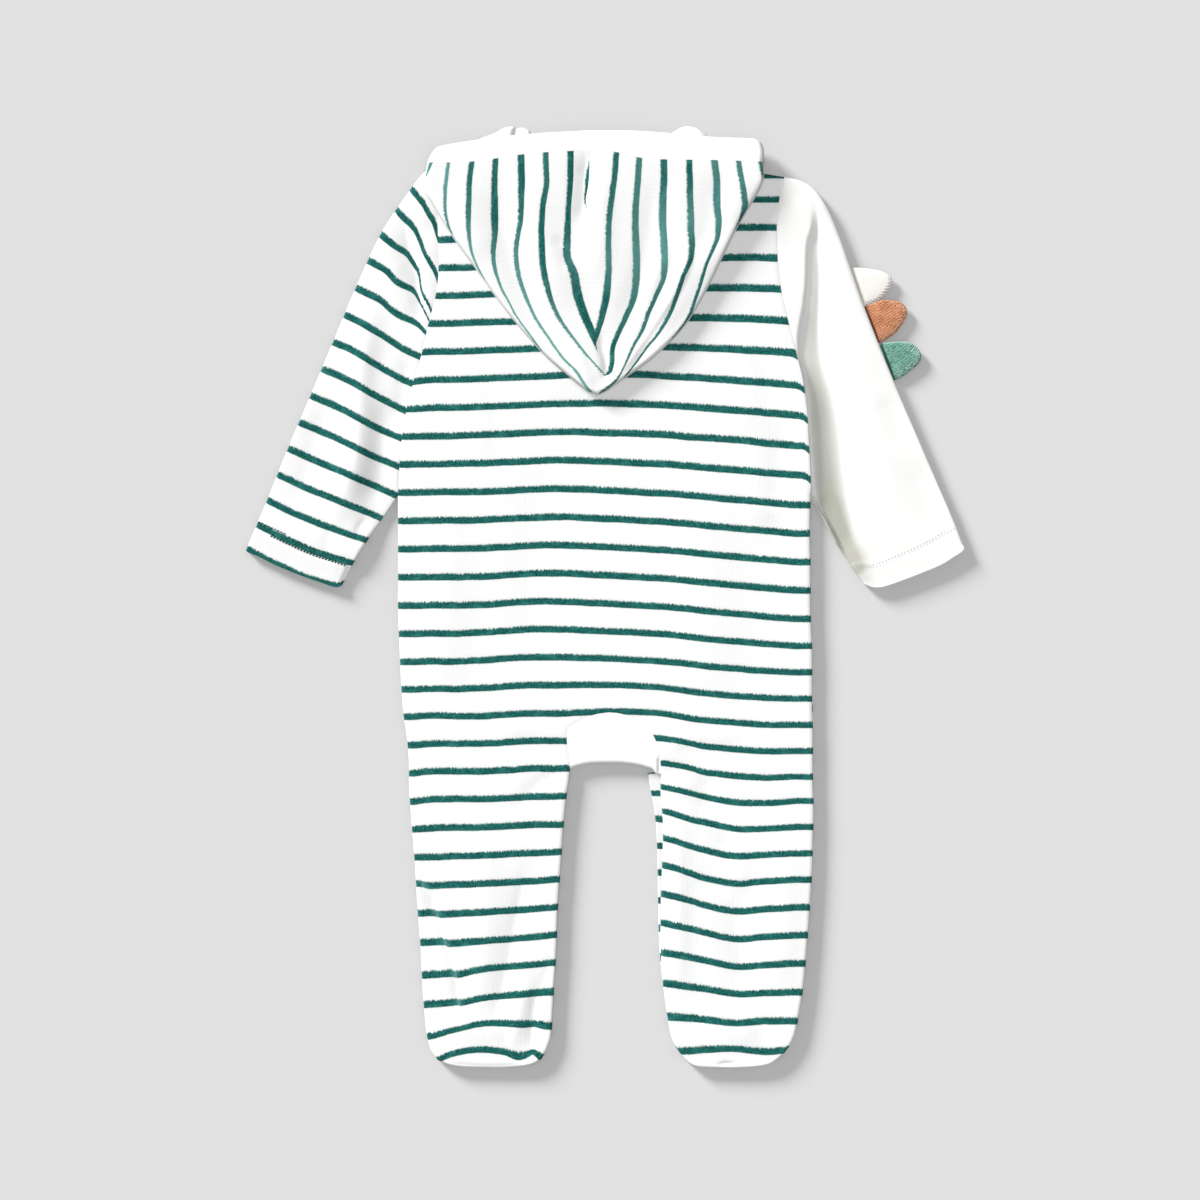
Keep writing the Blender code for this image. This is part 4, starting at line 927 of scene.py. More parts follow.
sleeves = {
    "left": {
        "outer": [(-108, 272.5), (-116, 272), (-127.5, 257.5), (-144, 232.5), (-160, 198),
                  (-174.5, 163.5), (-189, 129), (-203.5, 95), (-217, 61.5), (-230.2, 30.4)],
        "inner": [(-133, 65.5), (-143.5, 50), (-152.5, 36.5), (-162, 21), (-168.8, 7.8)],
        "cuff": [(-230.2, 30.4), (-229, 29), (-221.8, 26), (-213.8, 21.8), (-205.8, 18.4), (-197.7, 15),
                 (-189.7, 12.1), (-181.7, 9.4), (-176.3, 7.4), (-171.8, 6.6), (-168.8, 7.8)],
        "hem": 14.5, "cuffDrop": 1.2,  # the hem's width, and how much lower the cuff lies
        "creases": [
            {"route": [(-116.5, 166), (-117.8, 191.5), (-119, 198.7), (-119.7, 207.5), (-122, 215.5),
                       (-125, 225), (-127.5, 240)], "width": 8.0, "height": -1.7, "edge": 0.8},
            {"route": [(-113, 236), (-113.5, 208), (-113, 178)], "width": 4.5, "height": 0.4},
            {"route": [(-122, 262), (-117, 248), (-112, 236)], "width": 6, "height": 0.6},
            {"route": [(-126, 160), (-131, 120), (-138, 84)], "width": 6, "height": -0.7},
            {"route": [(-148, 200), (-156, 150), (-158.5, 112), (-162, 87), (-168, 66), (-175, 42)],
             "width": 8.5, "height": 2.0},
            {"route": [(-139, 132), (-143, 102), (-146, 80), (-156, 50)], "width": 8.5, "height": -1.9},
            {"route": [(-176, 128), (-188, 90), (-200, 52)], "width": 8, "height": -0.6},
            {"route": [(-148, 120), (-156, 80), (-168, 44)], "width": 9, "height": 0.5},
            {"route": [(-128, 96), (-133, 66), (-143.5, 50), (-155, 32)], "width": 15, "height": -2.2,
             "fade": 0.35},
            {"route": [(-139, 76), (-156, 78), (-174, 88)], "width": 5, "height": 0.4},
            {"route": [(-146, 226), (-138, 214), (-128, 206)], "width": 6, "height": 0.4},
            {"route": [(-152, 52), (-158, 44), (-160, 34)], "width": 2.2, "height": -0.6},
            {"route": [(-163, 22), (-166, 15), (-169, 8)], "width": 1.3, "height": -1.3, "fade": 0.1},
            {"route": [(-176, 46), (-178, 34), (-178, 20)], "width": 4, "height": -0.3},
        ],
        # each line runs along one stripe
        "stripes": [
            [(-119, 254.4), (-116.5, 251.2), (-113.3, 245.4), (-110.1, 241), (-108.8, 236.5)],
            [(-134.4, 249.3), (-130.6, 244.2), (-124.8, 238.7), (-121.6, 233.9), (-118.4, 226.2),
             (-116.5, 220.5), (-112.6, 214.7), (-109.1, 209.6), (-107.5, 204.5)],
            [(-144, 232), (-136.3, 225.6), (-127.7, 220.5), (-124.4, 216), (-121.6, 211.5),
             (-119.7, 207.4), (-118.4, 195.5), (-116.5, 191), (-113.9, 186.6), (-112.3, 182.7)],
            [(-152.3, 215.4), (-144.6, 211.5), (-140.2, 209), (-135, 202.6), (-130.6, 200),
             (-125.4, 198.1), (-121.6, 195.5), (-118.4, 189.1)],
            [(-160, 197.8), (-144.6, 190.4), (-138.2, 184.6), (-131.8, 180.2), (-124.8, 177.6),
             (-119.7, 174.7), (-115.8, 170.6)],
            [(-167, 180.8), (-158, 176.5), (-150.5, 172), (-142.9, 167.5), (-135.5, 162.7), (-128, 158.1),
             (-119.9, 154.5)],
            [(-174.7, 163.5), (-165.1, 159.5), (-157, 155.2), (-149.3, 150.3), (-133.4, 141.1),
             (-125.1, 137.2)],
            [(-181.8, 146.2), (-163.2, 138.1), (-146.6, 128.8), (-129.6, 120.1)],
            [(-188.8, 129), (-168.7, 120.5), (-150.8, 110.5), (-132.1, 102.3)],
            [(-196, 112), (-174.3, 102.8), (-154.2, 92.9), (-133.5, 84)],
            [(-203, 95), (-179.6, 85), (-157.1, 75.4), (-134.8, 65.5)],
            [(-209.4, 78.5), (-187.3, 68.3), (-165.9, 59.9), (-144.6, 51.1)],
            [(-216.6, 62.2), (-205.6, 56.8), (-195.5, 52.2), (-175, 44.1), (-154, 37)],
            [(-222.3, 46.2), (-211.9, 40.9), (-202.4, 36.4), (-192.9, 32), (-183, 28.2), (-162.8, 22.1)],
            [(-230, 31.6), (-221.6, 27.1), (-213.6, 22.7), (-205.6, 19), (-197.5, 15.3), (-189.5, 12.3),
             (-181.5, 9.9), (-176.2, 8.4), (-171.8, 7.8), (-168.4, 9.4)],
        ],
        "heading": -25.0, "wall": velour, "material": stripedVelour, "slot": "striped_velour",
        "flat": (0.115, 0.27), "area": 0.029,
        "stitches": [
            {"line": [(-214.7, 39.7), (-203.3, 34.3), (-193.8, 29.9), (-183.9, 26.1), (-164.1, 20)],
             "spacing": 2.1, "size": (2.0, 1.3, 0.8), "slant": 1.0},
            {"line": [(-222.7, 48.7), (-213.1, 44.3), (-203.4, 40)],
             "spacing": 2.2, "size": (2.1, 0.7, 0.6), "slant": 0.28},
            {"line": [(-201, 37.4), (-193, 33.8), (-183, 30), (-172, 26.6), (-164, 24)],
             "spacing": 2.9, "size": (1.5, 0.8, 0.4), "slant": 0.9},
        ],
        "threadMaterial": darkThread,
    },
    "right": {
        "outer": [(114, 269), (127, 265.5), (137.5, 256), (148.5, 233.5), (165, 186.5), (183.5, 140),
                  (197, 108.5), (211, 76), (221, 53), (228.8, 33)],
        "inner": [(131, 65.5), (136.5, 57), (148.5, 34.5), (157.5, 19), (164.5, 9)],
        "cuff": [(228.8, 33), (228.1, 30), (222, 25.8), (211, 19.5), (182.5, 8.5), (172, 6.5), (164.5, 9)],
        "hem": 14.0, "cuffDrop": 0.4,
        "creases": [
            {"route": [(131, 256), (133.1, 246.7), (131.6, 234.6), (129.6, 226.9), (128.8, 216.6),
                       (128.4, 203.2), (126.6, 185.9), (124.4, 172.5), (123.5, 164.8), (123.5, 152.6),
                       (125.4, 145), (127.4, 133.4), (128.8, 119), (130, 101), (131, 83), (132, 66),
                       (137, 56), (149, 33.5), (158, 18)],
             "to": [(132.4, 256), (134.4, 248), (136.6, 237.8), (137.4, 222.4), (138.2, 209), (138, 195.5),
                    (137.6, 182.7), (137.8, 169.3), (139.2, 155.8), (142, 142.4), (146, 129), (149.8, 115),
                    (152.6, 101), (155.5, 75), (159.5, 50), (165, 30), (170, 18)],
             "toEdge": [1.6, 1.8, 2, 4, 6, 7, 7, 7], "height": -2.6, "edge": 0.6, "fade": 0.12},
            {"route": [(125.4, 150), (127.4, 133.4), (128.8, 119), (130, 101), (131, 83), (132, 66),
                       (137, 56), (149, 33.5), (158, 18)],
             "to": [(143, 150), (147, 133.4), (150.2, 119), (153, 101), (155, 75), (158, 50),
                    (163, 30), (168, 18)],
             "toEdge": [6, 7, 7, 7], "height": -1.9, "edge": 0.6, "fade": 0.25},
            # painted shade over the lower hollow, with no change of height
            {"route": [(126.9, 150), (128.9, 133.4), (130.3, 119), (131.5, 101), (133, 83), (134.5, 66),
                       (139, 56), (150.5, 33.5), (159.5, 18)],
             "to": [(141, 150), (143.6, 133.4), (146, 119), (148.6, 101), (151, 75), (156, 50),
                    (163, 30), (168, 18)],
             "toEdge": [6, 7, 8, 9], "edge": 1.5, "fade": 0.25, "paintedShade": 0.42},
            # a trough along the inner edge, with painted shade on it
            {"route": [(132, 66), (137, 56), (149, 33.5), (158, 18), (163, 11)], "width": 13,
             "height": -1.0, "fade": 0.25, "paintedShade": 0.5},
            # painted shade: the hollow's even greyness, painted on past the shadow of its steep side
            {"route": [(133.5, 236), (134.3, 216), (134.3, 190), (132, 165), (132, 146), (137, 126.4),
                       (140, 100.8), (142.3, 75.2), (146, 49.6), (155, 30.4), (163, 14)],
             "width": [2, 2.2, 3, 5.5, 6.5, 6, 6, 7, 7, 7, 7], "fade": 0.02, "paintedShade": 1.0,
             "along": [0.0, 0.45, 0.58, 0.62, 0.55, 0.36, 0.3, 0.4, 0.5, 0.6, 0.85]},
            {"route": [(150, 200), (162, 150), (178, 90), (190, 50)], "width": 12, "height": 0.8},
            {"route": [(146, 230), (152, 206), (162, 176)], "width": 7, "height": 0.4},
            {"route": [(140, 96), (147, 62), (156, 34)], "width": 5, "height": 0.4},
            {"route": [(200, 92), (206, 62), (210, 34)], "width": 9, "height": -0.5},
            {"route": [(176, 130), (186, 110), (196, 96)], "width": 8, "height": -0.35},
            {"route": [(136, 66), (150, 70), (166, 82)], "width": 5, "height": -0.4},
            {"route": [(118, 252), (128, 248), (140, 240)], "width": 6, "height": 0.35},
        ],
        "wall": jersey, "material": whiteJersey, "slot": "white_jersey",
        "flat": (0.12, 0.27), "area": 0.030,
        "stitches": [
            {"line": [(222.8, 46), (204, 35.3), (176.5, 22.8), (166, 20.8), (157.8, 21.6)],
             "spacing": 2.2, "size": (1.5, 0.34, 0.3), "slant": 0.0},
            {"line": [(223.3, 44.6), (204.5, 33.9), (177, 21.4), (166.4, 19.5), (158.6, 20.2)],
             "spacing": 2.2, "size": (1.5, 0.34, 0.3), "slant": 0.0},
        ],
        "threadMaterial": whiteThread,
    },
}


def sleeveTop(flat, look, outer, inner, armhole, cuff):
    near = np.minimum(nearLine(flat, outer)[0], nearLine(flat, inner)[0])
    lift = sleeveLie["top"] - sleeveLie["rim"] + creaseHeight(flat, look["creases"])
    toCuff = nearLine(flat, cuff)[0]
    lift += sleeveLie["hemRise"] * easeIn(look["hem"] - toCuff, -sleeveLie["hemSoft"],
                                          sleeveLie["hemSoft"])
    # the hollow's floor is level, and rounds softly into its flanks
    soft = sleeveLie["leastSoft"]
    lift = sleeveLie["least"] + soft * np.logaddexp(0.0, (lift - sleeveLie["least"]) / soft)
    lift -= look["cuffDrop"] * easeIn(-toCuff / sleeveLie["cuffReach"], -1.0, 0.0)
    height = sleeveLie["rim"] + lift * rollUp(near, sleeveLie["roll"])
    return height + seamDip(flat, armhole, *sleeveLie["seamDip"])


def makeSleeve(side):
    look = sleeves[side]
    armhole = bodyHalf(side)[0][:body["underarm"] * rowSteps + 1]
    cuff = smoothLine(look["cuff"])
    shares = np.linspace(0.0, 1.0, sleeveLie["rows"] + 1)
    outer = alongLine(smoothLine(look["outer"]), shares)
    inner = alongLine(smoothLine(look["inner"]), shares)
    outer[0], inner[0] = armhole[0], armhole[-1]
    halves = []
    for layer in ("over", "under"):
        form, across, down = clothGrid(sleeveLie["columns"], sleeveLie["rows"])
        flat = panelPoints(outer, inner, armhole, cuff, across, down,
                           lambda share, width, rows: foldShares(share, width, sleeveLie["roll"], 1.0))
        near = np.minimum(nearLine(flat, outer)[0], nearLine(flat, inner)[0])
        height = sleeveLie["rim"] * (1.0 - rollUp(near, sleeveLie["roll"]))
        if layer == "over":
            height = sleeveTop(flat, look, outer, inner, armhole, cuff)
        count, run = flat[:, 1] / pitch, flat[:, 0] / pitch
        if "stripes" in look:
            count, run = stripesBetween(flat, look["stripes"], look["heading"])
        # the painted shade of the hollow goes into the look map's second coordinate, where the jersey turns
        # grey
        paintedShade = np.minimum(creaseHeight(flat, look["creases"], "paintedShade"), sleeveLie["mostPaintedShade"])
        halves.append(layCloth(form, np.column_stack([flat, height]), np.column_stack([run, count]),
                               np.column_stack([np.full(len(flat), plainHalf), paintedShade])))
    tube = finishPiece("sleeve_" + side + "_cloth", joinForms(halves), look["material"],
                       "out", look["wall"], ["sleeve_" + side])
    rows = [stitchRow(smoothLine(row["line"]), row["spacing"], row["size"],
                      sleeveLie["stitchLift"], row["slant"],
                      lambda points: sleeveTop(points, look, outer, inner, armhole, cuff))
            for row in look["stitches"]]
    stitches = finishPiece("sleeve_" + side + "_stitches", joinForms(rows), look["threadMaterial"])


for side in sleeves:
    makeSleeve(side)
print("sleeves made")


# the spikes stand in the right sleeve's outer seam
spikeLie = {
    "thick": 3.0, "footLift": 1.2, "tipLift": 1.6, "around": 96, "up": 24, "ribTurn": 33.0,
    "inside": 1.5, "middle": 0.42, "flatness": 0.8, "crown": 0.7,
    "footShadeLine": 1.2, "footShadeMark": 40.0,  # the painted shadow line at the foot: half its width, and its mark
}

spikes = {
    "cream": [(157, 211.2), (167.5, 210.3), (176.3, 208.6), (180.9, 206.2), (182.9, 203.3), (182.3, 199.2),
              (179.7, 195.2), (175.7, 191.1), (171, 188.2), (165.2, 186)],
    "rust": [(165.6, 186.2), (175.7, 190), (182.1, 190), (186.7, 189.6), (190.2, 187.6), (192.5, 183.6),
             (191.9, 179.5), (189.1, 174.2), (185.5, 169.6), (182.1, 166.7), (178, 164.4), (174.8, 162.6)],
    "green": [(175.7, 162.6), (179.1, 162.9), (185, 163.5), (191.4, 163.5), (196, 162), (199.5, 159.1),
              (201.5, 155.6), (201.3, 152.1), (198.9, 148.6), (194.9, 145.2), (190.2, 141.6), (184.6, 138.8)],
}


def spikeForm(outline):
    # a ball pressed flat and drawn out to the tooth's outline
    tooth = smoothLine(outline)
    foot = (tooth[0] + tooth[-1]) / 2
    run = (tooth[-1] - tooth[0]) / np.linalg.norm(tooth[-1] - tooth[0])
    out = np.array([-run[1], run[0]])
    reach = ((tooth - foot) @ out).max()
    centre = foot + out * reach * spikeLie["middle"]
    ring = np.vstack([tooth, foot - out * spikeLie["inside"], tooth[:1]]) - centre
    turns = np.unwrap(np.arctan2(ring[:, 1], ring[:, 0]))
    order = np.argsort(turns)
    form = bmesh.new()
    bmesh.ops.create_uvsphere(form, u_segments=spikeLie["around"], v_segments=spikeLie["up"], radius=1.0)
    ball = np.array([vert.co for vert in form.verts])
    wide = np.hypot(ball[:, 0], ball[:, 1])
    turn = np.arctan2(ball[:, 1], ball[:, 0])
    far = np.interp(turn, turns[order], np.hypot(ring[order, 0], ring[order, 1]), period=2 * math.pi)
    shape = wide ** spikeLie["flatness"] * far
    flat = centre + np.column_stack([np.cos(turn), np.sin(turn)]) * shape[:, None]
    drop = np.clip(1.0 - (flat - foot) @ out / reach, 0.0, 1.0)
    middle = spikeLie["thick"] / 2 + spikeLie["footLift"] * drop + spikeLie["tipLift"] * (1.0 - drop)
    rise = np.sign(ball[:, 2]) * np.abs(ball[:, 2]) ** spikeLie["crown"]
    height = middle + spikeLie["thick"] / 2 * rise
    tilt = math.radians(spikeLie["ribTurn"])
    along = flat @ np.array([math.cos(tilt), math.sin(tilt)])
    across = flat @ np.array([-math.sin(tilt), math.cos(tilt)])
    near, share = nearLine(flat, tooth)[:2]
    length = np.linalg.norm(np.diff(tooth, axis=0), axis=1).sum()
    # the painted shadow line at the foot is marked in the look map's first coordinate
    fromFoot = np.abs((flat - foot) @ out)
    near += spikeLie["footShadeMark"] * np.clip(1.0 - fromFoot / spikeLie["footShadeLine"], 0.0, 1.0)
    return layCloth(form, np.column_stack([flat, height]), np.column_stack([along, across]),
                    np.column_stack([near, share * length]))


for name, outline in spikes.items():
    tooth = finishPiece("spike_" + name + "_pad", spikeForm(outline), ribs[name + "Rib"],
                        nodes=["spike_" + name])
print("spikes made")


# the hood is folded down over the back, and its tip points to the feet
hood = {
    "rim": 5.9, "top": 14.0, "tipDrop": 3.0, "roll": 2.1, "rollPart": 0.25, "columns": 60, "rows": 96,
    "bandColumns": 64, "bandRows": 10,
    "left": [(-114, 277.5), (-116, 262), (-109.5, 248.5), (-96.5, 228), (-80.5, 206), (-63.5, 182.5),
             (-43, 158.5), (-29, 145.5), (-12, 131.5)],
    "right": [(100.5, 278), (101, 271), (98.5, 261), (82.5, 233.5), (65.5, 198.5), (50, 173),
              (29.5, 152.5), (12, 140), (1, 132)],
    "tip": (-5.5, 129),
    "middle": [(-9.5, 285.4), (-10, 270), (-12, 248), (-10, 216), (-6.5, 164), (-3.2, 150), (-0.9, 141.5),
               (-2.5, 134), (-5.5, 129)],
    "lowLeft": [(-114, 277.5), (-86, 278), (-54.5, 282.5), (-38.5, 284), (-9.5, 285.4)],
    "lowRight": [(100.5, 278), (70, 279), (37, 279.5), (22, 280.5), (7, 284), (-9.5, 285.4)],
    "highLeft": [(-113.9, 278.6), (-112.3, 282.4), (-109.2, 286.5), (-104.7, 288.7), (-83.2, 292.3),
                 (-45.5, 296.5), (-9.5, 298.5)],
    "highRight": [(100.6, 278.8), (101, 283.3), (100.7, 287.2), (99.3, 290.3), (96.6, 292.4), (92, 293.4),
                  (66.5, 294.4), (38, 297), (16, 298.3), (-9.5, 298.5)],
    "creases": [
        {"route": [(-16, 230), (-12.5, 246), (-11, 262), (-11, 286)], "width": 9, "height": -2.2,
         "edge": 0.9, "fade": 0.3},
        {"route": [(-4, 276), (-3, 240), (-5, 200)], "width": 8, "height": 0.9},
        {"route": [(-52, 276), (-40, 230), (-22, 180)], "width": 10, "height": 1.0},
        {"route": [(-72, 272), (-60, 214), (-36, 160)], "width": 8, "height": -0.9},
        {"route": [(-92, 270), (-86, 240), (-74, 214)], "width": 8, "height": 0.7},
        {"route": [(-34, 232), (-27.5, 222), (-24, 208)], "width": 4, "height": -0.5},
        {"route": [(46, 222), (41, 208), (33, 188), (25, 169), (15, 150)], "width": 5, "height": -1.3},
        {"route": [(32, 276), (26, 220), (6, 156)], "width": 8, "height": -1.0},
        {"route": [(3.8, 135.4), (18, 152), (34.6, 177.6), (44, 192), (53.8, 214.7), (54, 240)],
         "width": 9, "height": 1.3, "edge": 2.5},
        {"route": [(84, 226), (70, 206), (56, 184), (36, 160)], "width": 7, "height": -0.8},
        {"route": [(72, 272), (66, 240), (58, 214)], "width": 9, "height": -0.7},
        {"route": [(88, 272), (84, 254), (76, 238)], "width": 7, "height": 0.7},
        {"route": [(-6, 170), (-1.5, 157), (0.5, 146), (-2, 136)], "width": 3.2, "height": -1.6},
        {"route": [(-20, 160), (-14, 146), (-8, 134)], "width": 4, "height": 0.5},
    ],
    # each line runs along one stripe
    "heading": 90.0,
    "stripesLeft": [
        [(-112.6, 274.9), (-114.9, 270.1), (-116.9, 265.3), (-115.8, 259.5)],
        [(-100.7, 277.4), (-101.5, 270.1), (-102.7, 258.2), (-102.7, 246.4), (-101.1, 238.4), (-99.2, 233.3)],
        [(-85.5, 278.4), (-87.3, 264), (-87.9, 248.6), (-87.9, 234.6), (-86.7, 223.7), (-83.8, 214.7),
         (-78.1, 203.8)],
        [(-70.4, 280.6), (-71.3, 266.6), (-71.3, 248.6), (-70.7, 234.6), (-71.9, 220.5), (-71.3, 210.9),
         (-67.8, 199), (-63, 189.8), (-57, 178.9), (-49.9, 169.3), (-44.8, 162.2)],
        [(-54.4, 282.2), (-53.8, 266.6), (-53.8, 248.6), (-54.7, 238.4), (-57.3, 226.2), (-57.3, 215.4),
         (-55.4, 203.8), (-51.2, 192), (-45.4, 178.9), (-37.1, 166.1), (-27.5, 152.6), (-19.2, 144.6),
         (-14.7, 137.3), (-9.6, 130.9), (-5.8, 129.2)],
        [(-38.4, 283.8), (-38, 270.1), (-38, 262.1), (-40.5, 249.9), (-41.2, 237.1), (-40.8, 222.7),
         (-39.9, 208.3), (-36.5, 194.2), (-31, 180.2), (-23.9, 169.3), (-15.7, 159), (-8.6, 150.7),
         (-1.5, 143.4)],
        [(-22.2, 285.1), (-22.4, 270.1), (-23, 255.7), (-24.3, 239), (-25.6, 222.7), (-25.2, 216.6),
         (-21.1, 206.4), (-18.6, 193), (-14.5, 180.2), (-8.6, 167.1)],
        [(-10.6, 286), (-11.2, 275), (-12.6, 262), (-13.2, 250), (-4, 238), (4, 222), (8, 205)],
    ],
    "stripesRight": [
        [(-13.5, 284), (-15, 262), (-16, 240), (-16, 216), (-20, 190)],
        [(6.7, 283.8), (5.8, 270.1), (3.7, 254.7), (1.7, 239.3), (1.3, 222.7), (1.6, 208.3), (0.6, 196.8),
         (-1.6, 183.7), (-4.5, 171.8), (-7, 164.8)],
        [(21.1, 280.6), (20.3, 266.6), (18.9, 252.5), (18.8, 234.6), (19.5, 216.6), (19.2, 201.3),
         (17.6, 189.8), (12.2, 177.6), (7.3, 167.4), (4.3, 159), (4.3, 149.4), (2.6, 143.4), (-1, 141.8)],
        [(36.9, 280), (36.9, 266.6), (36, 251.2), (36.5, 234.6), (37.5, 216.6), (36.9, 203.8), (31.6, 192),
         (26.9, 181.4), (23.3, 170.6), (17.9, 161.2), (12.6, 149.4), (7.9, 139.8), (3.8, 135.4),
         (-2.8, 130.4)],
        [(52.9, 279.4), (53.4, 265.3), (54.1, 246.4), (54.1, 234.6), (55, 222.7), (54.1, 214.7),
         (49.3, 205.1), (45.8, 194.2), (41, 181.4), (33.9, 169.3), (25.6, 159), (18.6, 149.4), (7.9, 136)],
        [(69.4, 278.7), (70.8, 265.3), (70.8, 249.9), (72.3, 239), (71.7, 230.1), (68.3, 221.8),
         (64, 212.2), (60.2, 199), (56.3, 187.2), (52.9, 178.9), (48, 171.8), (42.2, 164.8)],
        [(84.5, 278.7), (86, 269.1), (88.3, 255.7), (88.3, 247.4), (84.9, 238.4), (81.3, 230.1),
         (78.7, 223.7)],
        [(97.9, 278.7), (99.8, 272.3)],
    ],
    # each stripe's width and fading at six heights; a width below nothing isn't seen, and
    # the stripes end on the fold, within plainEdge from the outline
    "lookY": [164, 190, 216, 242, 268, 282], "halfPerWidth": 0.037, "unseen": -1.5,
    "plainEdge": (0.3, 0.9),
    "looksLeft": [
        [(2.2, 0.4), (2.2, 0.4), (2.2, 0.4), (2.2, 0.4), (2.6, 0.4), (2.6, 0.4)],
        [(2.0, 0.5), (2.0, 0.5), (2.0, 0.4), (2.0, 0.4), (2.2, 0.6), (2.2, 0.6)],
        [(1.6, 0.75), (1.6, 0.75), (1.8, 0.7), (3.1, 0.2), (3.2, 0.05), (3.2, 0.05)],
        [(1.8, 0.7), (2.0, 0.75), (3.0, 0.35), (4.0, 0.0), (3.2, 0.05), (3.2, 0.05)],
        [(1.9, 0.75), (2.3, 0.55), (2.6, 0.4), (2.9, 0.1), (3.8, 0.0), (3.8, 0.0)],
        [(2.0, 0.65), (2.6, 0.15), (3.7, 0.0), (3.6, 0.0), (3.0, 0.1), (3.0, 0.1)],
        [(4.2, 0.0), (4.0, 0.0), (3.3, 0.2), (3.2, 0.0), (4.4, 0.0), (4.4, 0.0)],
        [(-1.5, 0.0), (-1.5, 0.0), (-1.5, 0.0), (-0.4, 0.0), (2.4, 0.0), (-0.6, 0.0)],
    ],
    "looksRight": [
        [(-1.5, 0.0), (-1.5, 0.0), (-1.5, 0.0), (-1.5, 0.0), (-1.5, 0.0), (-1.5, 0.0)],
        [(3.5, 0.1), (3.8, 0.0), (3.2, 0.4), (3.2, 0.15), (3.2, 0.05), (3.2, 0.05)],
        [(3.4, 0.0), (3.8, 0.2), (3.5, 0.45), (3.5, 0.25), (3.5, 0.25), (3.5, 0.25)],
        [(2.6, 0.2), (3.2, 0.1), (3.5, 0.5), (3.8, 0.35), (3.8, 0.05), (3.8, 0.05)],
        [(2.6, 0.15), (2.9, 0.1), (3.5, 0.05), (3.2, 0.4), (3.2, 0.0), (3.2, 0.0)],
        [(2.2, 0.2), (2.9, 0.1), (2.9, 0.05), (3.8, 0.3), (3.8, 0.3), (3.8, 0.3)],
        [(1.8, 0.6), (1.8, 0.6), (1.8, 0.6), (3.0, 0.1), (3.2, 0.3), (3.2, 0.3)],
        [(2.4, 0.3), (2.4, 0.3), (2.4, 0.3), (2.4, 0.3), (2.4, 0.3), (2.4, 0.3)],
    ],
}


def hoodLines(side):
    # fine outline, middle seam, and both edges of the band of one half
    shares = np.linspace(0.0, 1.0, hood["rows"] + 1)
    edge = alongLine(smoothLine(hood[side]), shares)
    middle = alongLine(smoothLine(hood["middle"]), shares)
    end = side.capitalize()
    return edge, middle, smoothLine(hood["low" + end]), smoothLine(hood["high" + end])


def hoodOutline():
    left, middle, low, highLeft = hoodLines("left")
    right, middle, low, highRight = hoodLines("right")
    return np.vstack([left, middle[-1:], right[::-1], highRight, highLeft[::-1], left[:1]])


def hoodShares(share, width, rows):
    return foldShares(share, width, hood["roll"], 0.0, hood["rollPart"])


def hoodTop(flat):
    high, tip = hood["left"][0][1], hood["tip"][1]
    drop = np.clip((high - flat[:, 1]) / (high - tip), 0.0, 1.0)
    near = nearLine(flat, hoodOutline())[0]
    lift = hood["top"] - hood["tipDrop"] * drop - hood["rim"] + creaseHeight(flat, hood["creases"])
    return hood["rim"] + lift * rollUp(near, hood["roll"])


def hoodLook(count, points, side):
    # half width and fading of the stripes round each point of one half
    table = np.array(hood["looks" + side.capitalize()])
    row = np.clip(np.floor(count), 0, len(table) - 2).astype(int)
    part = np.clip(count - row, 0.0, 1.0)
    found = []
    for column in (0, 1):
        levels = np.array([np.interp(points[:, 1], hood["lookY"], stripe[:, column]) for stripe in table])
        picked = np.arange(len(points))
        found.append(levels[row, picked] * (1.0 - part) + levels[row + 1, picked] * part)
    shown = easeIn(nearLine(points, hoodOutline())[0], *hood["plainEdge"])
    width = found[0] * shown + hood["unseen"] * (1.0 - shown)
    return np.column_stack([width * hood["halfPerWidth"], found[1]])


def hoodHalf(side):
    edge, middle, low = hoodLines(side)[:3]
    form, across, down = clothGrid(hood["columns"], hood["rows"])
    tip = np.array([edge[-1], middle[-1]])
    flat = panelPoints(edge, middle, low, tip, across, down, hoodShares)
    count, run = stripesBetween(flat, hood["stripes" + side.capitalize()], hood["heading"])
    return layCloth(form, np.column_stack([flat, hoodTop(flat)]), np.column_stack([run, count]),
                    hoodLook(count, flat, side))


for side in ("left", "right"):
    half = finishPiece("hood_" + side + "_panel", hoodHalf(side), stripedVelour, "up",
                       velour, ["hood_" + side])
print("hood made")


def bandForm(side):
    low, high = hoodLines(side)[2:]
    form, across, down = clothGrid(hood["bandColumns"], hood["bandRows"])
    part = (1.0 - np.cos(down * math.pi / 2))[:, None]
    flat = alongLine(high, across) * (1.0 - part) + alongLine(low, across) * part
    return layCloth(form, np.column_stack([flat, hoodTop(flat)]), flat / pitch)


band = finishPiece("hood_band_strip", joinForms([bandForm("left"), bandForm("right")]), whiteJersey,
                   "up", jersey, ["hood_band"])

core = {"drop": 2.6, "columns": 12, "rows": 20, "startSteps": 32, "least": 0.3}


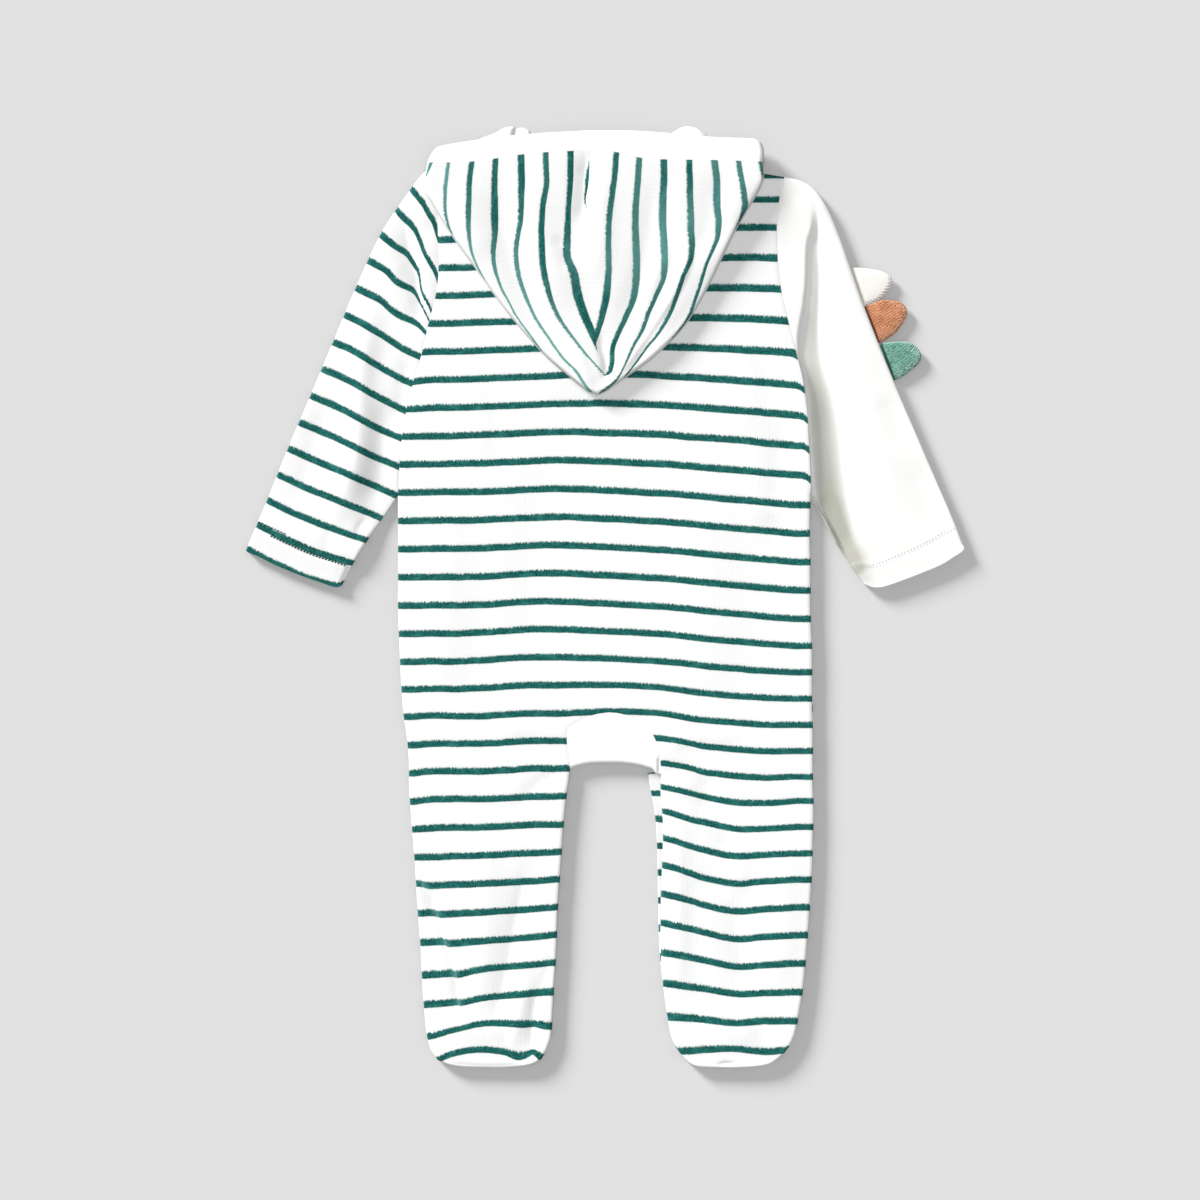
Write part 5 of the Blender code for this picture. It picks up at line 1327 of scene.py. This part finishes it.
def coreForm(side):
    # the hidden layers as one rounded solid, kept under the cloth that shows
    edge, middle = hoodLines(side)[:2]
    high = hoodLines(side)[3]
    form, across, down = clothGrid(core["columns"], core["rows"])
    start = alongLine(high, np.linspace(0.0, 1.0, core["startSteps"] + 1))
    tip = np.array([edge[-1], middle[-1]])
    pick = np.linspace(0, len(edge) - 1, core["rows"] + 1).round().astype(int)
    outer, seam = edge[pick], middle[pick]
    outer[0], seam[0] = high[0], high[-1]
    flat = panelPoints(outer, seam, start, tip, across, down, hoodShares)
    top = np.maximum(hoodTop(flat) - core["drop"], hood["rim"] + core["least"])
    layCloth(form, np.column_stack([flat, top]), flat / pitch)
    made = bmesh.ops.extrude_face_region(form, geom=form.faces[:])
    for part in made["geom"]:
        if isinstance(part, bmesh.types.BMVert):
            part.co.z = hood["rim"] * mm
    bmesh.ops.recalc_face_normals(form, faces=form.faces[:])
    return form


stuffing = finishPiece("hood_inner_layers", joinForms([coreForm("left"), coreForm("right")]), whiteJersey,
                       nodes=["hood_inner"])

lining = {
    "left": -106.0, "right": 94.0, "gap": 1.0, "top": 5.6, "roll": 2.0, "columns": 300, "rows": 16,
    "edge": [(-106, 284), (-95, 288.5), (-83.2, 292), (-77.8, 294.5), (-70.7, 297.2), (-66.2, 299.9),
             (-61.7, 301.1), (-58.4, 300.8), (-57.3, 299.2), (-56.2, 300.2), (-52.7, 300.3), (-49.2, 298.6),
             (-47.2, 296), (-44, 293.5), (0, 296), (36, 294.5), (41, 296.4), (44.5, 298.5), (48.3, 300.6),
             (52.5, 301.3), (57, 300.5), (61, 298.2), (64.5, 295.5), (68, 292.5), (94, 290)],
    "creases": [
        {"route": [(-57.3, 300.5), (-58.4, 297.8), (-60, 294.5)], "width": 1.3, "height": -2.6,
         "fade": 0.1},
        {"route": [(-71.5, 297), (-72.5, 294), (-73, 291)], "width": 1.4, "height": -0.9},
        {"route": [(44, 301), (46, 297), (46, 292)], "width": 2, "height": -0.8},
        {"route": [(58, 301), (60, 297), (60, 292)], "width": 2.5, "height": 0.5},
    ],
}


def liningForm():
    # a flat fold whose two bumps stand out past the band
    near = np.array([*body["neckLeft"], *body["neckRight"][-2::-1]], float)
    far = smoothLine(lining["edge"])
    form, across, down = clothGrid(lining["columns"], lining["rows"])
    x = lining["left"] + (lining["right"] - lining["left"]) * across
    base = np.interp(x, near[:, 0], near[:, 1]) + lining["gap"]
    edge = np.interp(x, far[:, 0], far[:, 1])
    part = np.sin(np.minimum(down, 1.0 - down) * math.pi)
    y = base + (edge - base) * part
    flat = np.column_stack([x, y])
    fold = np.column_stack([x, edge])[down == 0.0]
    near = nearLine(flat, fold[np.argsort(fold[:, 0])])[0]
    half = lining["top"] / 2
    lift = half + creaseHeight(flat, lining["creases"])
    rise = rollUp(near, lining["roll"])
    height = np.where(down <= 0.5, half + lift * rise, half * (1.0 - rise))
    return layCloth(form, np.column_stack([flat, height]), flat / pitch)


edgeFold = finishPiece("hood_lining_fold", liningForm(), whiteJersey, "out", jersey,
                       nodes=["hood_lining"])
print("band, inner layers and lining made")
